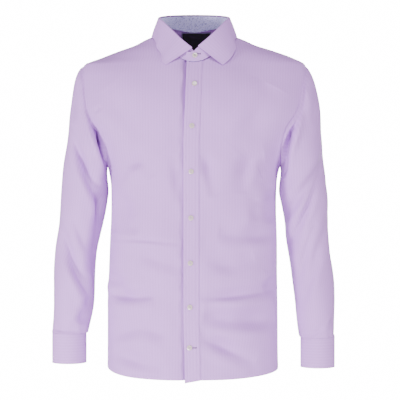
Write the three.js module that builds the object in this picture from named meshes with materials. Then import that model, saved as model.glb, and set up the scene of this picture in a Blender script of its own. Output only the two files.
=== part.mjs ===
// Long sleeve dress shirt, filled out as worn, built from the pieces it is cut and sewn from.
// Millimetres, +Z up. The front faces -Y and the wearer's left is +X.
// The origin is the centre of the neck opening, level with the side neck points.
import * as THREE from "three";

// Cloth walls and the gap left at a seam.
const CLOTH = 1.2;
const STAND_CLOTH = 1.2;
const FACING_CLOTH = 1.0;
const LEAF_CLOTH = 1.8;
const CUFF_CLOTH = 2.0;
const PLACKET_CLOTH = 1.2;
const LABEL_CLOTH = 1.0;
const SEAM_GAP = 0.3;
const ARMHOLE_GAP = 0.5;

// The level sections of the body are rounded ovals of this power.
const ROUND = 2.4;

// Body sections: half width, depth to the front and to the back, and sideways shift.
const BODY = [
  { z: 30, width: 70, front: 14, back: 50, shift: 0 },
  { z: 14, width: 74, front: 17, back: 57, shift: 0 },
  { z: 3, width: 79, front: 24, back: 64, shift: 0 },
  { z: -1, width: 92, front: 28, back: 66, shift: 0 },
  { z: -7, width: 107, front: 34, back: 69, shift: 1 },
  { z: -20, width: 133.5, front: 46, back: 76, shift: 3 },
  { z: -33, width: 171.5, front: 56, back: 83, shift: 5.5 },
  { z: -46, width: 206, front: 65, back: 89, shift: 7 },
  { z: -64, width: 243, front: 76, back: 97, shift: 1.5 },
  { z: -90, width: 250, front: 90, back: 106, shift: 0 },
  { z: -130, width: 251, front: 106, back: 115, shift: 0 },
  { z: -160, width: 249, front: 113, back: 119, shift: 0 },
  { z: -185, width: 243, front: 116, back: 121, shift: 0 },
  { z: -208, width: 230, front: 117, back: 121, shift: 0 },
  { z: -230, width: 215, front: 117, back: 120, shift: 0 },
  { z: -250, width: 203, front: 116, back: 118, shift: 0 },
  { z: -268, width: 195.5, front: 115, back: 116, shift: 0 },
  { z: -285, width: 189.5, front: 114, back: 114, shift: -0.5 },
  { z: -308, width: 184, front: 112, back: 112, shift: -1 },
  { z: -330, width: 181.5, front: 110, back: 109, shift: -0.5 },
  { z: -370, width: 181, front: 108, back: 106, shift: -0.5 },
  { z: -450, width: 183.5, front: 109, back: 108, shift: -1.5 },
  { z: -600, width: 186.5, front: 115, back: 116, shift: -3 },
  { z: -800, width: 187.5, front: 117, back: 118, shift: -3.5 },
];

// Armhole: depth forward and backward of the side line at each height.
const ARMHOLE = [
  { z: -64, front: 0, back: 0 },
  { z: -70, front: 14, back: 15 },
  { z: -84, front: 28, back: 29 },
  { z: -104, front: 39, back: 41 },
  { z: -130, front: 47, back: 51 },
  { z: -160, front: 54, back: 58 },
  { z: -185, front: 62, back: 61 },
  { z: -208, front: 67, back: 61 },
  { z: -230, front: 63, back: 57 },
  { z: -250, front: 54, back: 49 },
  { z: -268, front: 40, back: 37 },
  { z: -280, front: 22, back: 21 },
  { z: -285, front: 0, back: 0 },
];
const UNDERARM_Z = -285;

// Neck opening, an oval cut down through the body form.
const NECK_HALF_WIDTH = 77;
const NECK_FRONT = 76;
const NECK_BACK = 57;

// Yoke seams: angle round the neck, place along the armhole, and height at the back.
const YOKE_NECK_ANGLE = 82;
const YOKE_ARM_FRONT = 0.05;
const YOKE_ARM_BACK = 0.17;
const YOKE_BACK_Z = -98;

// Hem heights at the side seams and how far the front and the back curve lower.
const HEM_SIDE_Z = -721;
const HEM_FRONT_DROP = 20;
const HEM_CURVE = { left: 0.9, right: 2.6 };
const HEM_CORNER_DROP = 6;
const HEM_BACK_DROP = 37;

// Front placket: half width, where its middle lies from neck to hem, and the underlap.
const PLACKET_HALF = 16.8;
const PLACKET_LINE = [
  { z: -60, x: 1.5 },
  { z: -93, x: -0.2 },
  { z: -156, x: -2.2 },
  { z: -190, x: -3.7 },
  { z: -245, x: -5.4 },
  { z: -600, x: -5.4 },
  { z: -672, x: -3.6 },
  { z: -745, x: -2.4 },
];
const UNDERLAP = 13;
const UNDERLAP_STEP = 2.2;

// Sleeve sections below the cap: middle and half sizes, for the wearer's left.
const SLEEVE = [
  { z: -345, x: 240.5, y: 2, halfWidth: 51.5, halfDepth: 64 },
  { z: -398, x: 247.5, y: 3, halfWidth: 49.7, halfDepth: 60 },
  { z: -451, x: 253, y: 2, halfWidth: 47.5, halfDepth: 57 },
  { z: -521, x: 259.5, y: -3, halfWidth: 45, halfDepth: 53 },
  { z: -592, x: 265.5, y: -10, halfWidth: 43, halfDepth: 49 },
  { z: -630, x: 268.5, y: -14, halfWidth: 41, halfDepth: 45 },
  { z: -670, x: 271, y: -18, halfWidth: 37.4, halfDepth: 39 },
];
const SLEEVE_SIDES = {
  left: { side: 1, shift: -1, cuffTop: -658, cuffBottom: -723 },
  right: { side: -1, shift: -1.5, cuffTop: -648.5, cuffBottom: -713.5 },
};
const CAP_SPRING = 0.42;
const CUFF_HALF_WIDTH = 37.6;
const CUFF_HALF_DEPTH = 38.6;
const CUFF_START = -110;
const CUFF_OVERLAP_ANGLE = 40;
const CUFF_OVERLAP_STEP = 2.6;

// Main folds of the sleeves. The angle is 0 outside, 90 at the front, 180 inside.
// Positive depth is a trough, negative a ridge.
const SLEEVE_FOLDS = {
  right: [
    { angle: 45, z: -210, toAngle: 178, toZ: -420, width: 15, depth: 9 },
    { angle: 20, z: -170, toAngle: 120, toZ: -330, width: 13, depth: -4 },
    { angle: 30, z: -420, toAngle: 155, toZ: -578, width: 14, depth: 7 },
    { angle: 55, z: -500, toAngle: 150, toZ: -610, width: 12, depth: -3 },
    { angle: 330, z: -230, toAngle: 205, toZ: -400, width: 15, depth: 7 },
    { angle: 320, z: -430, toAngle: 215, toZ: -560, width: 14, depth: 6 },
  ],
  left: [
    { angle: 5, z: -262, toAngle: 176, toZ: -418, width: 15, depth: 9 },
    { angle: 40, z: -345, toAngle: 130, toZ: -475, width: 11, depth: 4 },
    { angle: 12, z: -385, toAngle: 152, toZ: -592, width: 14, depth: 7 },
    { angle: 40, z: -470, toAngle: 130, toZ: -600, width: 12, depth: -3 },
    { angle: 335, z: -250, toAngle: 200, toZ: -410, width: 15, depth: 7 },
    { angle: 325, z: -440, toAngle: 215, toZ: -585, width: 14, depth: 6 },
  ],
};

// Main folds of the body, as lines in the front or the back view.
const FRONT_FOLDS = [
  { x: 205, z: -215, toX: 150, toZ: -330, width: 17, depth: 4.5 },
  { x: 165, z: -250, toX: 120, toZ: -360, width: 15, depth: 3 },
  { x: 172, z: -262, toX: 130, toZ: -262, width: 16, depth: -3 },
  { x: -205, z: -225, toX: -165, toZ: -340, width: 17, depth: 4 },
  { x: -150, z: -290, toX: -95, toZ: -345, width: 16, depth: 3 },
  { x: -182, z: -570, toX: -80, toZ: -562, width: 15, depth: 3.5 },
  { x: 182, z: -560, toX: 95, toZ: -552, width: 15, depth: 3.5 },
  { x: 165, z: -612, toX: 40, toZ: -606, width: 17, depth: 4 },
  { x: 30, z: -655, toX: 130, toZ: -715, width: 16, depth: 3.5 },
  { x: 150, z: -640, toX: 45, toZ: -632, width: 14, depth: -2.5 },
  { x: -178, z: -520, toX: -140, toZ: -600, width: 16, depth: 3 },
];
const BACK_FOLDS = [
  { x: 195, z: -230, toX: 120, toZ: -380, width: 18, depth: 4.5 },
  { x: -198, z: -235, toX: -125, toZ: -365, width: 18, depth: 4.5 },
  { x: -150, z: -470, toX: 10, toZ: -440, width: 17, depth: 4 },
  { x: 165, z: -520, toX: 30, toZ: -485, width: 16, depth: 4 },
  { x: -170, z: -585, toX: -40, toZ: -560, width: 17, depth: 3.5 },
  { x: 150, z: -640, toX: 20, toZ: -610, width: 16, depth: 3 },
];

// Collar: the loop of its folded top edge and the outer edge of the leaf.
const COLLAR_TOP = { halfWidth: 77.5, front: 69, back: 50, frontZ: -36, sideZ: 38, backZ: 52 };
const STAND_OVERLAP = 16;
const STAND_STEP = 3.2;
const STAND_RISE = 2.4;
const STAND_TAPER = 0.4;
const LEAF_EDGE = [
  { angle: 0, form: 10.8, z: -64, lift: 3.2 },
  { angle: 30, form: 17.9, z: -43, lift: 3.6 },
  { angle: 60, form: 36, z: -20, lift: 4.5 },
  { angle: 75, form: 49, z: -10, lift: 4 },
  { angle: 90, form: 84, z: -0.5, lift: 4 },
  { angle: 120, form: 127, z: 3, lift: 6 },
  { angle: 150, form: 156, z: 5, lift: 6 },
  { angle: 180, form: 180, z: 6, lift: 6 },
];
const LEAF_START = 6.5;
const LEAF_END = 357;
const LEAF_BULGE = 2.2;
const LEAF_FOLD = [
  { out: -3, up: 2.9 },
  { out: 1, up: 3.2 },
  { out: 3.6, up: 0.8 },
];

// Neck label, inside the back of the neck.
const LABEL_GAP = 0.9;
const LABEL = { left: -29, right: 38, topZ: 9, bottomZ: -26 };

// Buttons.
const BUTTON_RADIUS = 5.6;
const BUTTON_HEIGHT = 2.4;
const BUTTON_SIDES = 14;
const BUTTON_REST = 0.3;
const FRONT_BUTTONS = [
  { z: -112, x: 1.3, rest: -0.3 },
  { z: -202, x: -4.2, rest: 0.2 },
  { z: -298.5, x: -5.7, rest: 0.2 },
  { z: -397, x: -6.3, rest: 0.2 },
  { z: -493, x: -7.4, rest: 0.2 },
  { z: -586, x: -8.4, rest: 0.2 },
  { z: -671.5, x: -9.2, rest: 0.2 },
];
const COLLAR_BUTTON = { angle: 1.4, share: 0.52 };
const CUFF_BUTTON_ANGLE = 262;

// Grid counts.
const NECK_ROWS = 6;
const ARM_ROWS = 7;
const SKIRT_ROWS = 18;
const FRONT_COLUMNS = 12;
const BACK_COLUMNS = 20;
const BACK_ARM_ROWS = 9;
const CAP_ROWS = 9;
const SLEEVE_ROWS = 15;
const COLLAR_COLUMNS = 40;
const STAND_ROWS = 2;
const LEAF_ROWS = 4;
const CUFF_ROWS = 3;
const CUFF_COLUMNS = 30;

const COLOURS = {
  cloth: "#cdbbd9",
  placket: "#d1c1dc",
  collar: "#cbb9d7",
  facing: "#a9aecb",
  label: "#14121a",
  button: "#e4dbe2",
};

const rad = (degrees) => (degrees * Math.PI) / 180;
const mix = (a, b, t) => a + (b - a) * t;
const clamp = (t) => Math.min(1, Math.max(0, t));
const smooth = (t) => clamp(t) * clamp(t) * (3 - 2 * clamp(t));
const power = (value, exponent) => Math.sign(value) * Math.abs(value) ** exponent;

// Smooth value of one column of a table, without overshoot between its rows.
function column(table, key, at, name) {
  const rows = table[0][key] < table[table.length - 1][key] ? table : [...table].reverse();
  const last = rows.length - 1;
  const slope = (i) => (rows[i + 1][name] - rows[i][name]) / (rows[i + 1][key] - rows[i][key]);
  const tangent = (i) => {
    if (i === 0 || i === last) return slope(i === 0 ? 0 : last - 1);
    const before = slope(i - 1);
    const after = slope(i);
    return before * after <= 0 ? 0 : (2 * before * after) / (before + after);
  };
  if (at <= rows[0][key]) return rows[0][name];
  if (at >= rows[last][key]) return rows[last][name];
  let i = 0;
  while (at > rows[i + 1][key]) i += 1;
  const step = rows[i + 1][key] - rows[i][key];
  const t = (at - rows[i][key]) / step;
  const rise = t * t * (3 - 2 * t);
  const leave = t * (1 - t) * (1 - t) * step * tangent(i);
  const arrive = -t * t * (1 - t) * step * tangent(i + 1);
  return mix(rows[i][name], rows[i + 1][name], rise) + leave + arrive;
}

const body = (z, name) => column(BODY, "z", z, name);

// Point of the body form: angle 0 is the centre front, 90 the wearer's left, 180 the back.
function bodyPoint(angle, z) {
  const s = Math.sin(rad(angle));
  const c = Math.cos(rad(angle));
  const depth = c > 0 ? body(z, "front") : body(z, "back");
  const x = body(z, "width") * power(s, 2 / ROUND) + body(z, "shift");
  return new THREE.Vector3(x, -depth * power(c, 2 / ROUND), z);
}

function bodyLevel(x, y, z) {
  const depth = y < 0 ? body(z, "front") : body(z, "back");
  const across = Math.abs((x - body(z, "shift")) / body(z, "width"));
  return across ** ROUND + Math.abs(y / depth) ** ROUND;
}

function bodyNormal(point) {
  const h = 0.5;
  const { x, y, z } = point;
  const q = (x - body(z, "shift")) / body(z, "width");
  const depth = y < 0 ? body(z, "front") : body(z, "back");
  const dx = power(q, ROUND - 1) * ROUND / body(z, "width");
  const dy = power(y / depth, ROUND - 1) * ROUND / depth;
  const dz = (bodyLevel(x, y, z + h) - bodyLevel(x, y, z - h)) / (2 * h);
  return new THREE.Vector3(dx, dy, dz).normalize();
}

// Angle of the form where its surface lies at a given sideways place, or at a given depth.
function angleAtX(x, z) {
  const q = (x - body(z, "shift")) / body(z, "width");
  return Math.asin(power(q, ROUND / 2)) * 180 / Math.PI;
}

function angleAtDepth(depth, z, front) {
  const form = front ? body(z, "front") : body(z, "back");
  const c = (Math.abs(depth) / form) ** (ROUND / 2);
  return 90 + (front ? -1 : 1) * Math.asin(c) * 180 / Math.PI;
}

// Point of the neck line at an angle round the neck.
function neckPoint(angle) {
  const c = Math.cos(rad(angle));
  const x = NECK_HALF_WIDTH * Math.sin(rad(angle));
  const y = -(c > 0 ? NECK_FRONT : NECK_BACK) * c;
  let low = -90;
  let high = 30;
  for (let i = 0; i < 40; i += 1) {
    const z = (low + high) / 2;
    if (bodyLevel(x, y, z) > 1) high = z;
    else low = z;
  }
  return new THREE.Vector3(x, y, (low + high) / 2);
}

// Angle and height on the form of a point that lies on it.
function onForm(point) {
  const { x, y, z } = point;
  const depth = y < 0 ? body(z, "front") : body(z, "back");
  const s = power((x - body(z, "shift")) / body(z, "width"), ROUND / 2);
  const c = power(-y / depth, ROUND / 2);
  let angle = Math.atan2(s, c) * 180 / Math.PI;
  if (angle < -100) angle += 360;
  return { angle, z };
}

// Place along the armhole: 0 at the shoulder, 1 under the arm.
function armhole(place, front) {
  const spread = [];
  let total = 0;
  ARMHOLE.forEach((row, i) => {
    const name = front ? "front" : "back";
    if (i > 0) {
      const before = ARMHOLE[i - 1];
      total += Math.hypot(row.z - before.z, row[name] - before[name]);
    }
    spread.push({ length: total, z: row.z, depth: row[name] });
  });
  const at = clamp(place) * total;
  const z = column(spread, "length", at, "z");
  const depth = Math.max(0, column(spread, "length", at, "depth"));
  return { angle: angleAtDepth(depth, z, front), z };
}

// How far folds move a point of the body inwards, seen in the front or the back view.
function foldDepth(folds, x, z) {
  let depth = 0;
  folds.forEach((fold) => {
    const dx = fold.toX - fold.x;
    const dz = fold.toZ - fold.z;
    const t = clamp(((x - fold.x) * dx + (z - fold.z) * dz) / (dx * dx + dz * dz));
    const away = Math.hypot(x - fold.x - t * dx, z - fold.z - t * dz) / fold.width;
    depth += fold.depth * Math.exp(-away * away) * (0.45 + 0.55 * Math.sin(Math.PI * t));
  });
  return depth;
}

function placketX(z) {
  return column(PLACKET_LINE, "z", z, "x");
}

// Outside face of the worn cloth at an angle and height, with its normal.
function worn(angle, z, step = 0, foldShare = 1) {
  const point = bodyPoint(angle, z);
  const normal = bodyNormal(point);
  const front = Math.cos(rad(angle)) > 0;
  const folds = front ? FRONT_FOLDS : BACK_FOLDS;
  const seam = smooth(Math.abs(point.y) / 45);
  const edge = front ? smooth((Math.abs(point.x - placketX(z)) - 22) / 30) : 1;
  const inwards = foldDepth(folds, point.x, z) * seam * edge;
  point.addScaledVector(normal, step - inwards * foldShare);
  return { point, normal };
}

// Closed wall from an outside face of four-sided cells, moved inwards by its thickness.
function wall(vertices, cells, thickness) {
  const positions = [];
  const indices = [];
  const count = vertices.length;
  vertices.forEach(({ point }) => positions.push(point.x, point.y, point.z));
  vertices.forEach(({ point, normal }) => {
    const inside = point.clone().addScaledVector(normal, -thickness);
    positions.push(inside.x, inside.y, inside.z);
  });
  const edges = new Map();
  cells.forEach(([a, b, c, d]) => {
    indices.push(a, b, c, a, c, d);
    indices.push(a + count, c + count, b + count, a + count, d + count, c + count);
    [[a, b], [b, c], [c, d], [d, a]].forEach(([from, to]) => {
      const back = `${to}_${from}`;
      if (edges.has(back)) edges.delete(back);
      else edges.set(`${from}_${to}`, [from, to]);
    });
  });
  edges.forEach(([from, to]) => {
    indices.push(from, from + count, to + count, from, to + count, to);
  });
  const geometry = new THREE.BufferGeometry();
  geometry.setAttribute("position", new THREE.Float32BufferAttribute(positions, 3));
  geometry.setIndex(indices);
  return compact(geometry);
}

// Leaves out points that no triangle uses, and gives the solid its normals.
function compact(geometry) {
  const index = geometry.getIndex().array;
  const old = geometry.getAttribute("position").array;
  const places = new Map();
  const positions = [];
  const indices = Array.from(index, (i) => {
    if (!places.has(i)) {
      places.set(i, places.size);
      positions.push(old[3 * i], old[3 * i + 1], old[3 * i + 2]);
    }
    return places.get(i);
  });
  const result = new THREE.BufferGeometry();
  result.setAttribute("position", new THREE.Float32BufferAttribute(positions, 3));
  result.setIndex(indices);
  result.computeVertexNormals();
  return result;
}

// Cells of a grid given row by row, with the cells left out that a test refuses.
function gridCells(rows, columns, closed = false, keep = () => true) {
  const cells = [];
  const width = closed ? columns : columns + 1;
  for (let r = 0; r < rows; r += 1) {
    for (let c = 0; c < columns; c += 1) {
      const next = closed ? (c + 1) % columns : c + 1;
      const corners = [r * width + c, (r + 1) * width + c, (r + 1) * width + next, r * width + next];
      if (keep(r, c)) cells.push(corners);
    }
  }
  return cells;
}

const flip = (cells) => cells.map(([a, b, c, d]) => [a, d, c, b]);

// Normals of a grid of points, from its neighbours along and across.
function gridNormals(points, rows, columns, closed) {
  const width = closed ? columns : columns + 1;
  const at = (r, c) => points[r * width + (closed ? (c + columns) % columns : Math.min(columns, Math.max(0, c)))];
  return points.map((point, i) => {
    const r = Math.floor(i / width);
    const c = i % width;
    const down = at(Math.min(rows, r + 1), c).clone().sub(at(Math.max(0, r - 1), c));
    const across = at(r, c + 1).clone().sub(at(r, c - 1));
    return { point, normal: down.cross(across).normalize() };
  });
}

function hemZ(angle) {
  const c = Math.cos(rad(angle));
  const curve = angle < 0 ? HEM_CURVE.right : HEM_CURVE.left;
  return HEM_SIDE_Z - (c > 0 ? HEM_FRONT_DROP * c ** curve : HEM_BACK_DROP * Math.abs(c) ** 1.5);
}

// Turns the wearer's left half into the right half.
const turn = (angle, side) => (side > 0 ? angle : -angle);

// Moves the points of one edge of a panel a little towards its inside.
function drawIn(points, pairs, gap) {
  pairs.forEach(([edge, inner]) => {
    const way = points[inner].point.clone().sub(points[edge].point);
    points[edge].point.addScaledVector(way.normalize(), gap);
  });
}

// One front, with its places listed from the overlapping edge outwards.
function frontPoints(side) {
  const rows = NECK_ROWS + ARM_ROWS + SKIRT_ROWS;
  const columns = FRONT_COLUMNS + 2;
  const edges = side > 0 ? [-PLACKET_HALF, 0, PLACKET_HALF] : [-UNDERLAP, 2, PLACKET_HALF];
  const own = (z, i) => side * placketX(z) + edges[i];
  const ownAngle = (x, z) => side * angleAtX(side * x, z);
  const neckAngle = (i) => Math.asin(own(-63, i) / NECK_HALF_WIDTH) * 180 / Math.PI;
  const cornerAngle = neckAngle(2);
  const chestZ = UNDERARM_Z - 12;
  const points = [];
  for (let r = 0; r <= rows; r += 1) {
    const arm = Math.min(1, r / (NECK_ROWS + ARM_ROWS));
    const outer = armhole(mix(YOKE_ARM_FRONT, 1, arm), true);
    const down = clamp((r - NECK_ROWS - ARM_ROWS) / SKIRT_ROWS);
    let inner = null;
    if (r < NECK_ROWS) {
      inner = onForm(neckPoint(mix(YOKE_NECK_ANGLE, cornerAngle, r / NECK_ROWS)));
    }
    for (let c = 0; c <= columns; c += 1) {
      const neckZ = neckPoint(neckAngle(Math.min(c, 2))).z;
      const edgeZ = mix(neckZ, chestZ, clamp((r - NECK_ROWS) / ARM_ROWS));
      const share = Math.max(0, (c - 2) / FRONT_COLUMNS);
      const bend = 0.5 * clamp(r / NECK_ROWS);
      const startZ = mix(inner ? inner.z : edgeZ, outer.z, share - bend * share * (1 - share));
      const nominal = c < 2 ? ownAngle(own(startZ, c), startZ) : share * 90;
      const corner = side > 0 ? HEM_CORNER_DROP * Math.max(0, 1 - c / 2) : 0;
      const z = mix(startZ, hemZ(nominal) - corner, down);
      const first = inner ? inner.angle : ownAngle(own(z, Math.min(c, 2)), z);
      const angle = mix(first, outer.angle, share);
      const near = own(z, 2);
      const under = 1 - smooth((side * bodyPoint(side * angle, z).x - near) / 45);
      const step = side < 0 ? -UNDERLAP_STEP * under : 0;
      const fade = down > 0 ? 1 : smooth((1 - share) * 4);
      points.push(worn(side * angle, z, step, fade));
    }
  }
  return { points, rows, columns };
}

const frontKeep = (r, c) => r >= NECK_ROWS || c >= 2;

function frontPanel(side) {
  const { points, rows, columns } = frontPoints(side);
  const width = columns + 1;
  const top = [];
  const seam = [];
  for (let c = 2; c <= columns; c += 1) top.push([c, c + width]);
  for (let r = NECK_ROWS + ARM_ROWS; r <= rows; r += 1) {
    seam.push([r * width + columns, r * width + columns - 1]);
  }
  drawIn(points, top, SEAM_GAP);
  drawIn(points, seam, SEAM_GAP * 0.6);
  const cells = gridCells(rows, columns, false, frontKeep);
  return wall(points, side > 0 ? cells : flip(cells), CLOTH);
}

// The box placket lies on the wearer's left front.
function placketStrip() {
  const { points, rows, columns } = frontPoints(1);
  const width = columns + 1;
  const lifted = [];
  for (let r = NECK_ROWS; r <= rows; r += 1) {
    for (let c = 0; c <= 2; c += 1) {
      const { point, normal } = points[r * width + c];
      const out = point.clone().addScaledVector(normal, SEAM_GAP + PLACKET_CLOTH);
      lifted.push({ point: out, normal });
    }
  }
  return wall(lifted, gridCells(rows - NECK_ROWS, 2), PLACKET_CLOTH);
}

function backPanel() {
  const rows = BACK_ARM_ROWS + SKIRT_ROWS;
  const width = BACK_COLUMNS + 1;
  const points = [];
  for (let r = 0; r <= rows; r += 1) {
    const arm = clamp(r / BACK_ARM_ROWS);
    const down = clamp((r - BACK_ARM_ROWS) / SKIRT_ROWS);
    const outer = armhole(mix(YOKE_ARM_BACK, 1, arm), false);
    for (let c = 0; c <= BACK_COLUMNS; c += 1) {
      const share = (2 * c) / BACK_COLUMNS - 1;
      const startZ = mix(mix(YOKE_BACK_Z, UNDERARM_Z - 12, arm), outer.z, share * share);
      const angle = mix(outer.angle, 360 - outer.angle, (share + 1) / 2);
      const z = mix(startZ, hemZ(angle), down);
      const fade = r === 0 ? 0 : down > 0 ? 1 : smooth((1 - Math.abs(share)) * 4);
      points.push(worn(angle, z, 0, fade));
    }
  }
  const top = [];
  const seams = [];
  for (let c = 0; c <= BACK_COLUMNS; c += 1) top.push([c, c + width]);
  for (let r = BACK_ARM_ROWS; r <= rows; r += 1) {
    seams.push([r * width, r * width + 1]);
    seams.push([r * width + BACK_COLUMNS, r * width + BACK_COLUMNS - 1]);
  }
  drawIn(points, top, SEAM_GAP);
  drawIn(points, seams, SEAM_GAP * 0.6);
  return wall(points, gridCells(rows, BACK_COLUMNS), CLOTH);
}

// The yoke runs from one front seam over the shoulder and the back to the other.
function yokePanel() {
  const outer = [];
  const neck = [];
  outer.push(armhole(YOKE_ARM_FRONT, true));
  neck.push(YOKE_NECK_ANGLE);
  for (let i = 0; i <= 2; i += 1) {
    outer.push(armhole(YOKE_ARM_BACK * i / 3, false));
    neck.push(90 + 7 * i);
  }
  const corner = armhole(YOKE_ARM_BACK, false);
  for (let c = 0; c <= BACK_COLUMNS; c += 1) {
    const share = (2 * c) / BACK_COLUMNS - 1;
    const angle = mix(corner.angle, 360 - corner.angle, c / BACK_COLUMNS);
    outer.push({ angle, z: mix(YOKE_BACK_Z, corner.z, share * share) });
    neck.push(mix(110, 250, c / BACK_COLUMNS));
  }
  for (let i = 3; i >= 0; i -= 1) {
    outer.push({ angle: 360 - outer[i].angle, z: outer[i].z });
    neck.push(360 - neck[i]);
  }
  const columns = outer.length - 1;
  const points = [];
  for (let r = 0; r <= FRONT_COLUMNS; r += 1) {
    const share = r / FRONT_COLUMNS;
    outer.forEach((end, c) => {
      const start = onForm(neckPoint(neck[c]));
      if (start.angle < 0) start.angle += 360;
      points.push(worn(mix(start.angle, end.angle, share), mix(start.z, end.z, share), 0, 0));
    });
  }
  return wall(points, gridCells(FRONT_COLUMNS, columns), CLOTH);
}

// Places round the sleeve, shared with the rows of the panels it is sewn to.
function sleevePlaces() {
  const places = [{ place: 0, front: true }];
  const frontRows = NECK_ROWS + ARM_ROWS;
  for (let i = 0; i <= frontRows; i += 1) {
    places.push({ place: mix(YOKE_ARM_FRONT, 1, i / frontRows), front: true });
  }
  for (let i = BACK_ARM_ROWS - 1; i >= 0; i -= 1) {
    places.push({ place: mix(YOKE_ARM_BACK, 1, i / BACK_ARM_ROWS), front: false });
  }
  places.push({ place: YOKE_ARM_BACK * 2 / 3, front: false });
  places.push({ place: YOKE_ARM_BACK / 3, front: false });
  return places;
}

function sleeveFoldDepth(folds, angle, z) {
  let depth = 0;
  folds.forEach((fold) => {
    const across = ((fold.toAngle - fold.angle) / 180) * 150;
    const down = fold.toZ - fold.z;
    const x = ((angle - fold.angle) / 180) * 150;
    const y = z - fold.z;
    const t = clamp((x * across + y * down) / (across * across + down * down));
    const away = Math.hypot(x - t * across, y - t * down) / fold.width;
    depth += fold.depth * Math.exp(-away * away) * (0.1 + 0.9 * Math.sin(Math.PI * t));
  });
  return depth;
}

// Level section of a sleeve below its cap.
function sleeveRing(angle, z, side, shift) {
  const c = Math.cos(rad(angle));
  const s = Math.sin(rad(angle));
  const x = side * (column(SLEEVE, "z", z, "x") + column(SLEEVE, "z", z, "halfWidth") * c) + shift;
  const y = column(SLEEVE, "z", z, "y") - column(SLEEVE, "z", z, "halfDepth") * s;
  return new THREE.Vector3(x, y, z);
}

function sleeveGrid(name) {
  const { side, shift, cuffTop } = SLEEVE_SIDES[name];
  const places = sleevePlaces();
  const rows = CAP_ROWS + SLEEVE_ROWS;
  const capZ = SLEEVE[0].z;
  const endZ = cuffTop + ARMHOLE_GAP;
  const points = [];
  for (let r = 0; r <= rows; r += 1) {
    places.forEach(({ place, front }) => {
      const angle = front ? 180 * place : 360 - 180 * place;
      const upper = Math.cos(rad(angle)) * 0.5 + 0.5;
      const start = armhole(place, front);
      const seam = worn(turn(start.angle, side), start.z, 0, 0).point;
      const leave = new THREE.Vector3(
        side * (0.3 + 0.7 * Math.sqrt(upper)),
        -0.3 * Math.sin(rad(angle)),
        -(1.1 - 0.25 * upper),
      ).normalize();
      seam.addScaledVector(leave, ARMHOLE_GAP);
      seam.x += side * 0.25;
      if (r > CAP_ROWS) {
        const z = mix(capZ, endZ, (r - CAP_ROWS) / SLEEVE_ROWS);
        points.push({ point: sleeveRing(angle, z, side, shift), angle, z });
        return;
      }
      const t = r / CAP_ROWS;
      const spring = mix(0.9, CAP_SPRING, upper);
      const end = sleeveRing(angle, capZ, side, shift);
      const length = end.distanceTo(seam);
      const arrive = new THREE.Vector3(side * 0.1, 0, -1).normalize();
      const point = new THREE.Vector3();
      point.addScaledVector(seam, 1 - t * t * (3 - 2 * t));
      point.addScaledVector(end, t * t * (3 - 2 * t));
      point.addScaledVector(leave, t * (1 - t) * (1 - t) * length * spring);
      point.addScaledVector(arrive, -t * t * (1 - t) * length);
      points.push({ point, angle, z: point.z });
    });
  }
  const order = side > 0 ? reverseColumns(points, places.length) : points;
  const faces = gridNormals(order.map(({ point }) => point), rows, places.length, true);
  faces.forEach((face, i) => {
    const r = Math.floor(i / places.length);
    const { angle, z } = order[i];
    const calm = smooth(r / 4) * smooth((z - endZ) / 25);
    face.point.addScaledVector(face.normal, -calm * sleeveFoldDepth(SLEEVE_FOLDS[name], angle, z));
  });
  return { faces: gridNormals(faces.map(({ point }) => point), rows, places.length, true), rows, order };
}

function reverseColumns(points, width) {
  return points.map((_, i) => {
    const c = i % width;
    return points[i - c + ((width - c) % width)];
  });
}

function sleeve(name) {
  const { faces, rows } = sleeveGrid(name);
  return wall(faces, gridCells(rows, sleevePlaces().length, true), CLOTH);
}

// The sleeve placket lies on the back of the sleeve, above the cuff.
function sleevePlacket(name) {
  const { faces, rows, order } = sleeveGrid(name);
  const width = sleevePlaces().length;
  const picked = [];
  const chosen = [];
  for (let c = 0; c < width; c += 1) {
    if (order[c].angle > 240 && order[c].angle < 275) chosen.push(c);
  }
  const first = rows - 7;
  for (let r = first; r <= rows; r += 1) {
    chosen.forEach((c) => {
      const { point, normal } = faces[r * width + c];
      const out = point.clone().addScaledVector(normal, SEAM_GAP + LABEL_CLOTH);
      picked.push({ point: out, normal });
    });
  }
  return wall(picked, gridCells(rows - first, chosen.length - 1), LABEL_CLOTH);
}

// A barrel cuff: a band whose ends overlap at the back of the wrist.
function cuff(name) {
  const { side, shift, cuffTop, cuffBottom } = SLEEVE_SIDES[name];
  const wrist = SLEEVE[SLEEVE.length - 1];
  const points = [];
  for (let r = 0; r <= CUFF_ROWS; r += 1) {
    for (let c = 0; c <= CUFF_COLUMNS; c += 1) {
      const share = side > 0 ? 1 - c / CUFF_COLUMNS : c / CUFF_COLUMNS;
      const angle = mix(CUFF_START, CUFF_START + 360 + CUFF_OVERLAP_ANGLE, share);
      const step = CUFF_OVERLAP_STEP * smooth((angle - CUFF_START - 300) / 55);
      const x = side * (wrist.x + (CUFF_HALF_WIDTH + step) * Math.cos(rad(angle))) + shift;
      const y = wrist.y - (CUFF_HALF_DEPTH + step) * Math.sin(rad(angle));
      points.push(new THREE.Vector3(x, y, mix(cuffTop, cuffBottom, r / CUFF_ROWS)));
    }
  }
  const faces = gridNormals(points, CUFF_ROWS, CUFF_COLUMNS, false);
  return wall(faces, gridCells(CUFF_ROWS, CUFF_COLUMNS), CUFF_CLOTH);
}

// Folded top edge of the collar, outside the stand.
function collarTop(angle) {
  const c = Math.cos(rad(angle));
  const s = Math.abs(Math.sin(rad(angle)));
  const { halfWidth, front, back, frontZ, sideZ, backZ } = COLLAR_TOP;
  const z = c > 0 ? mix(frontZ, sideZ, s ** 1.15) : mix(sideZ, backZ, Math.abs(c) ** 0.8);
  return new THREE.Vector3(halfWidth * Math.sin(rad(angle)), -(c > 0 ? front : back) * c, z);
}

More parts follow.
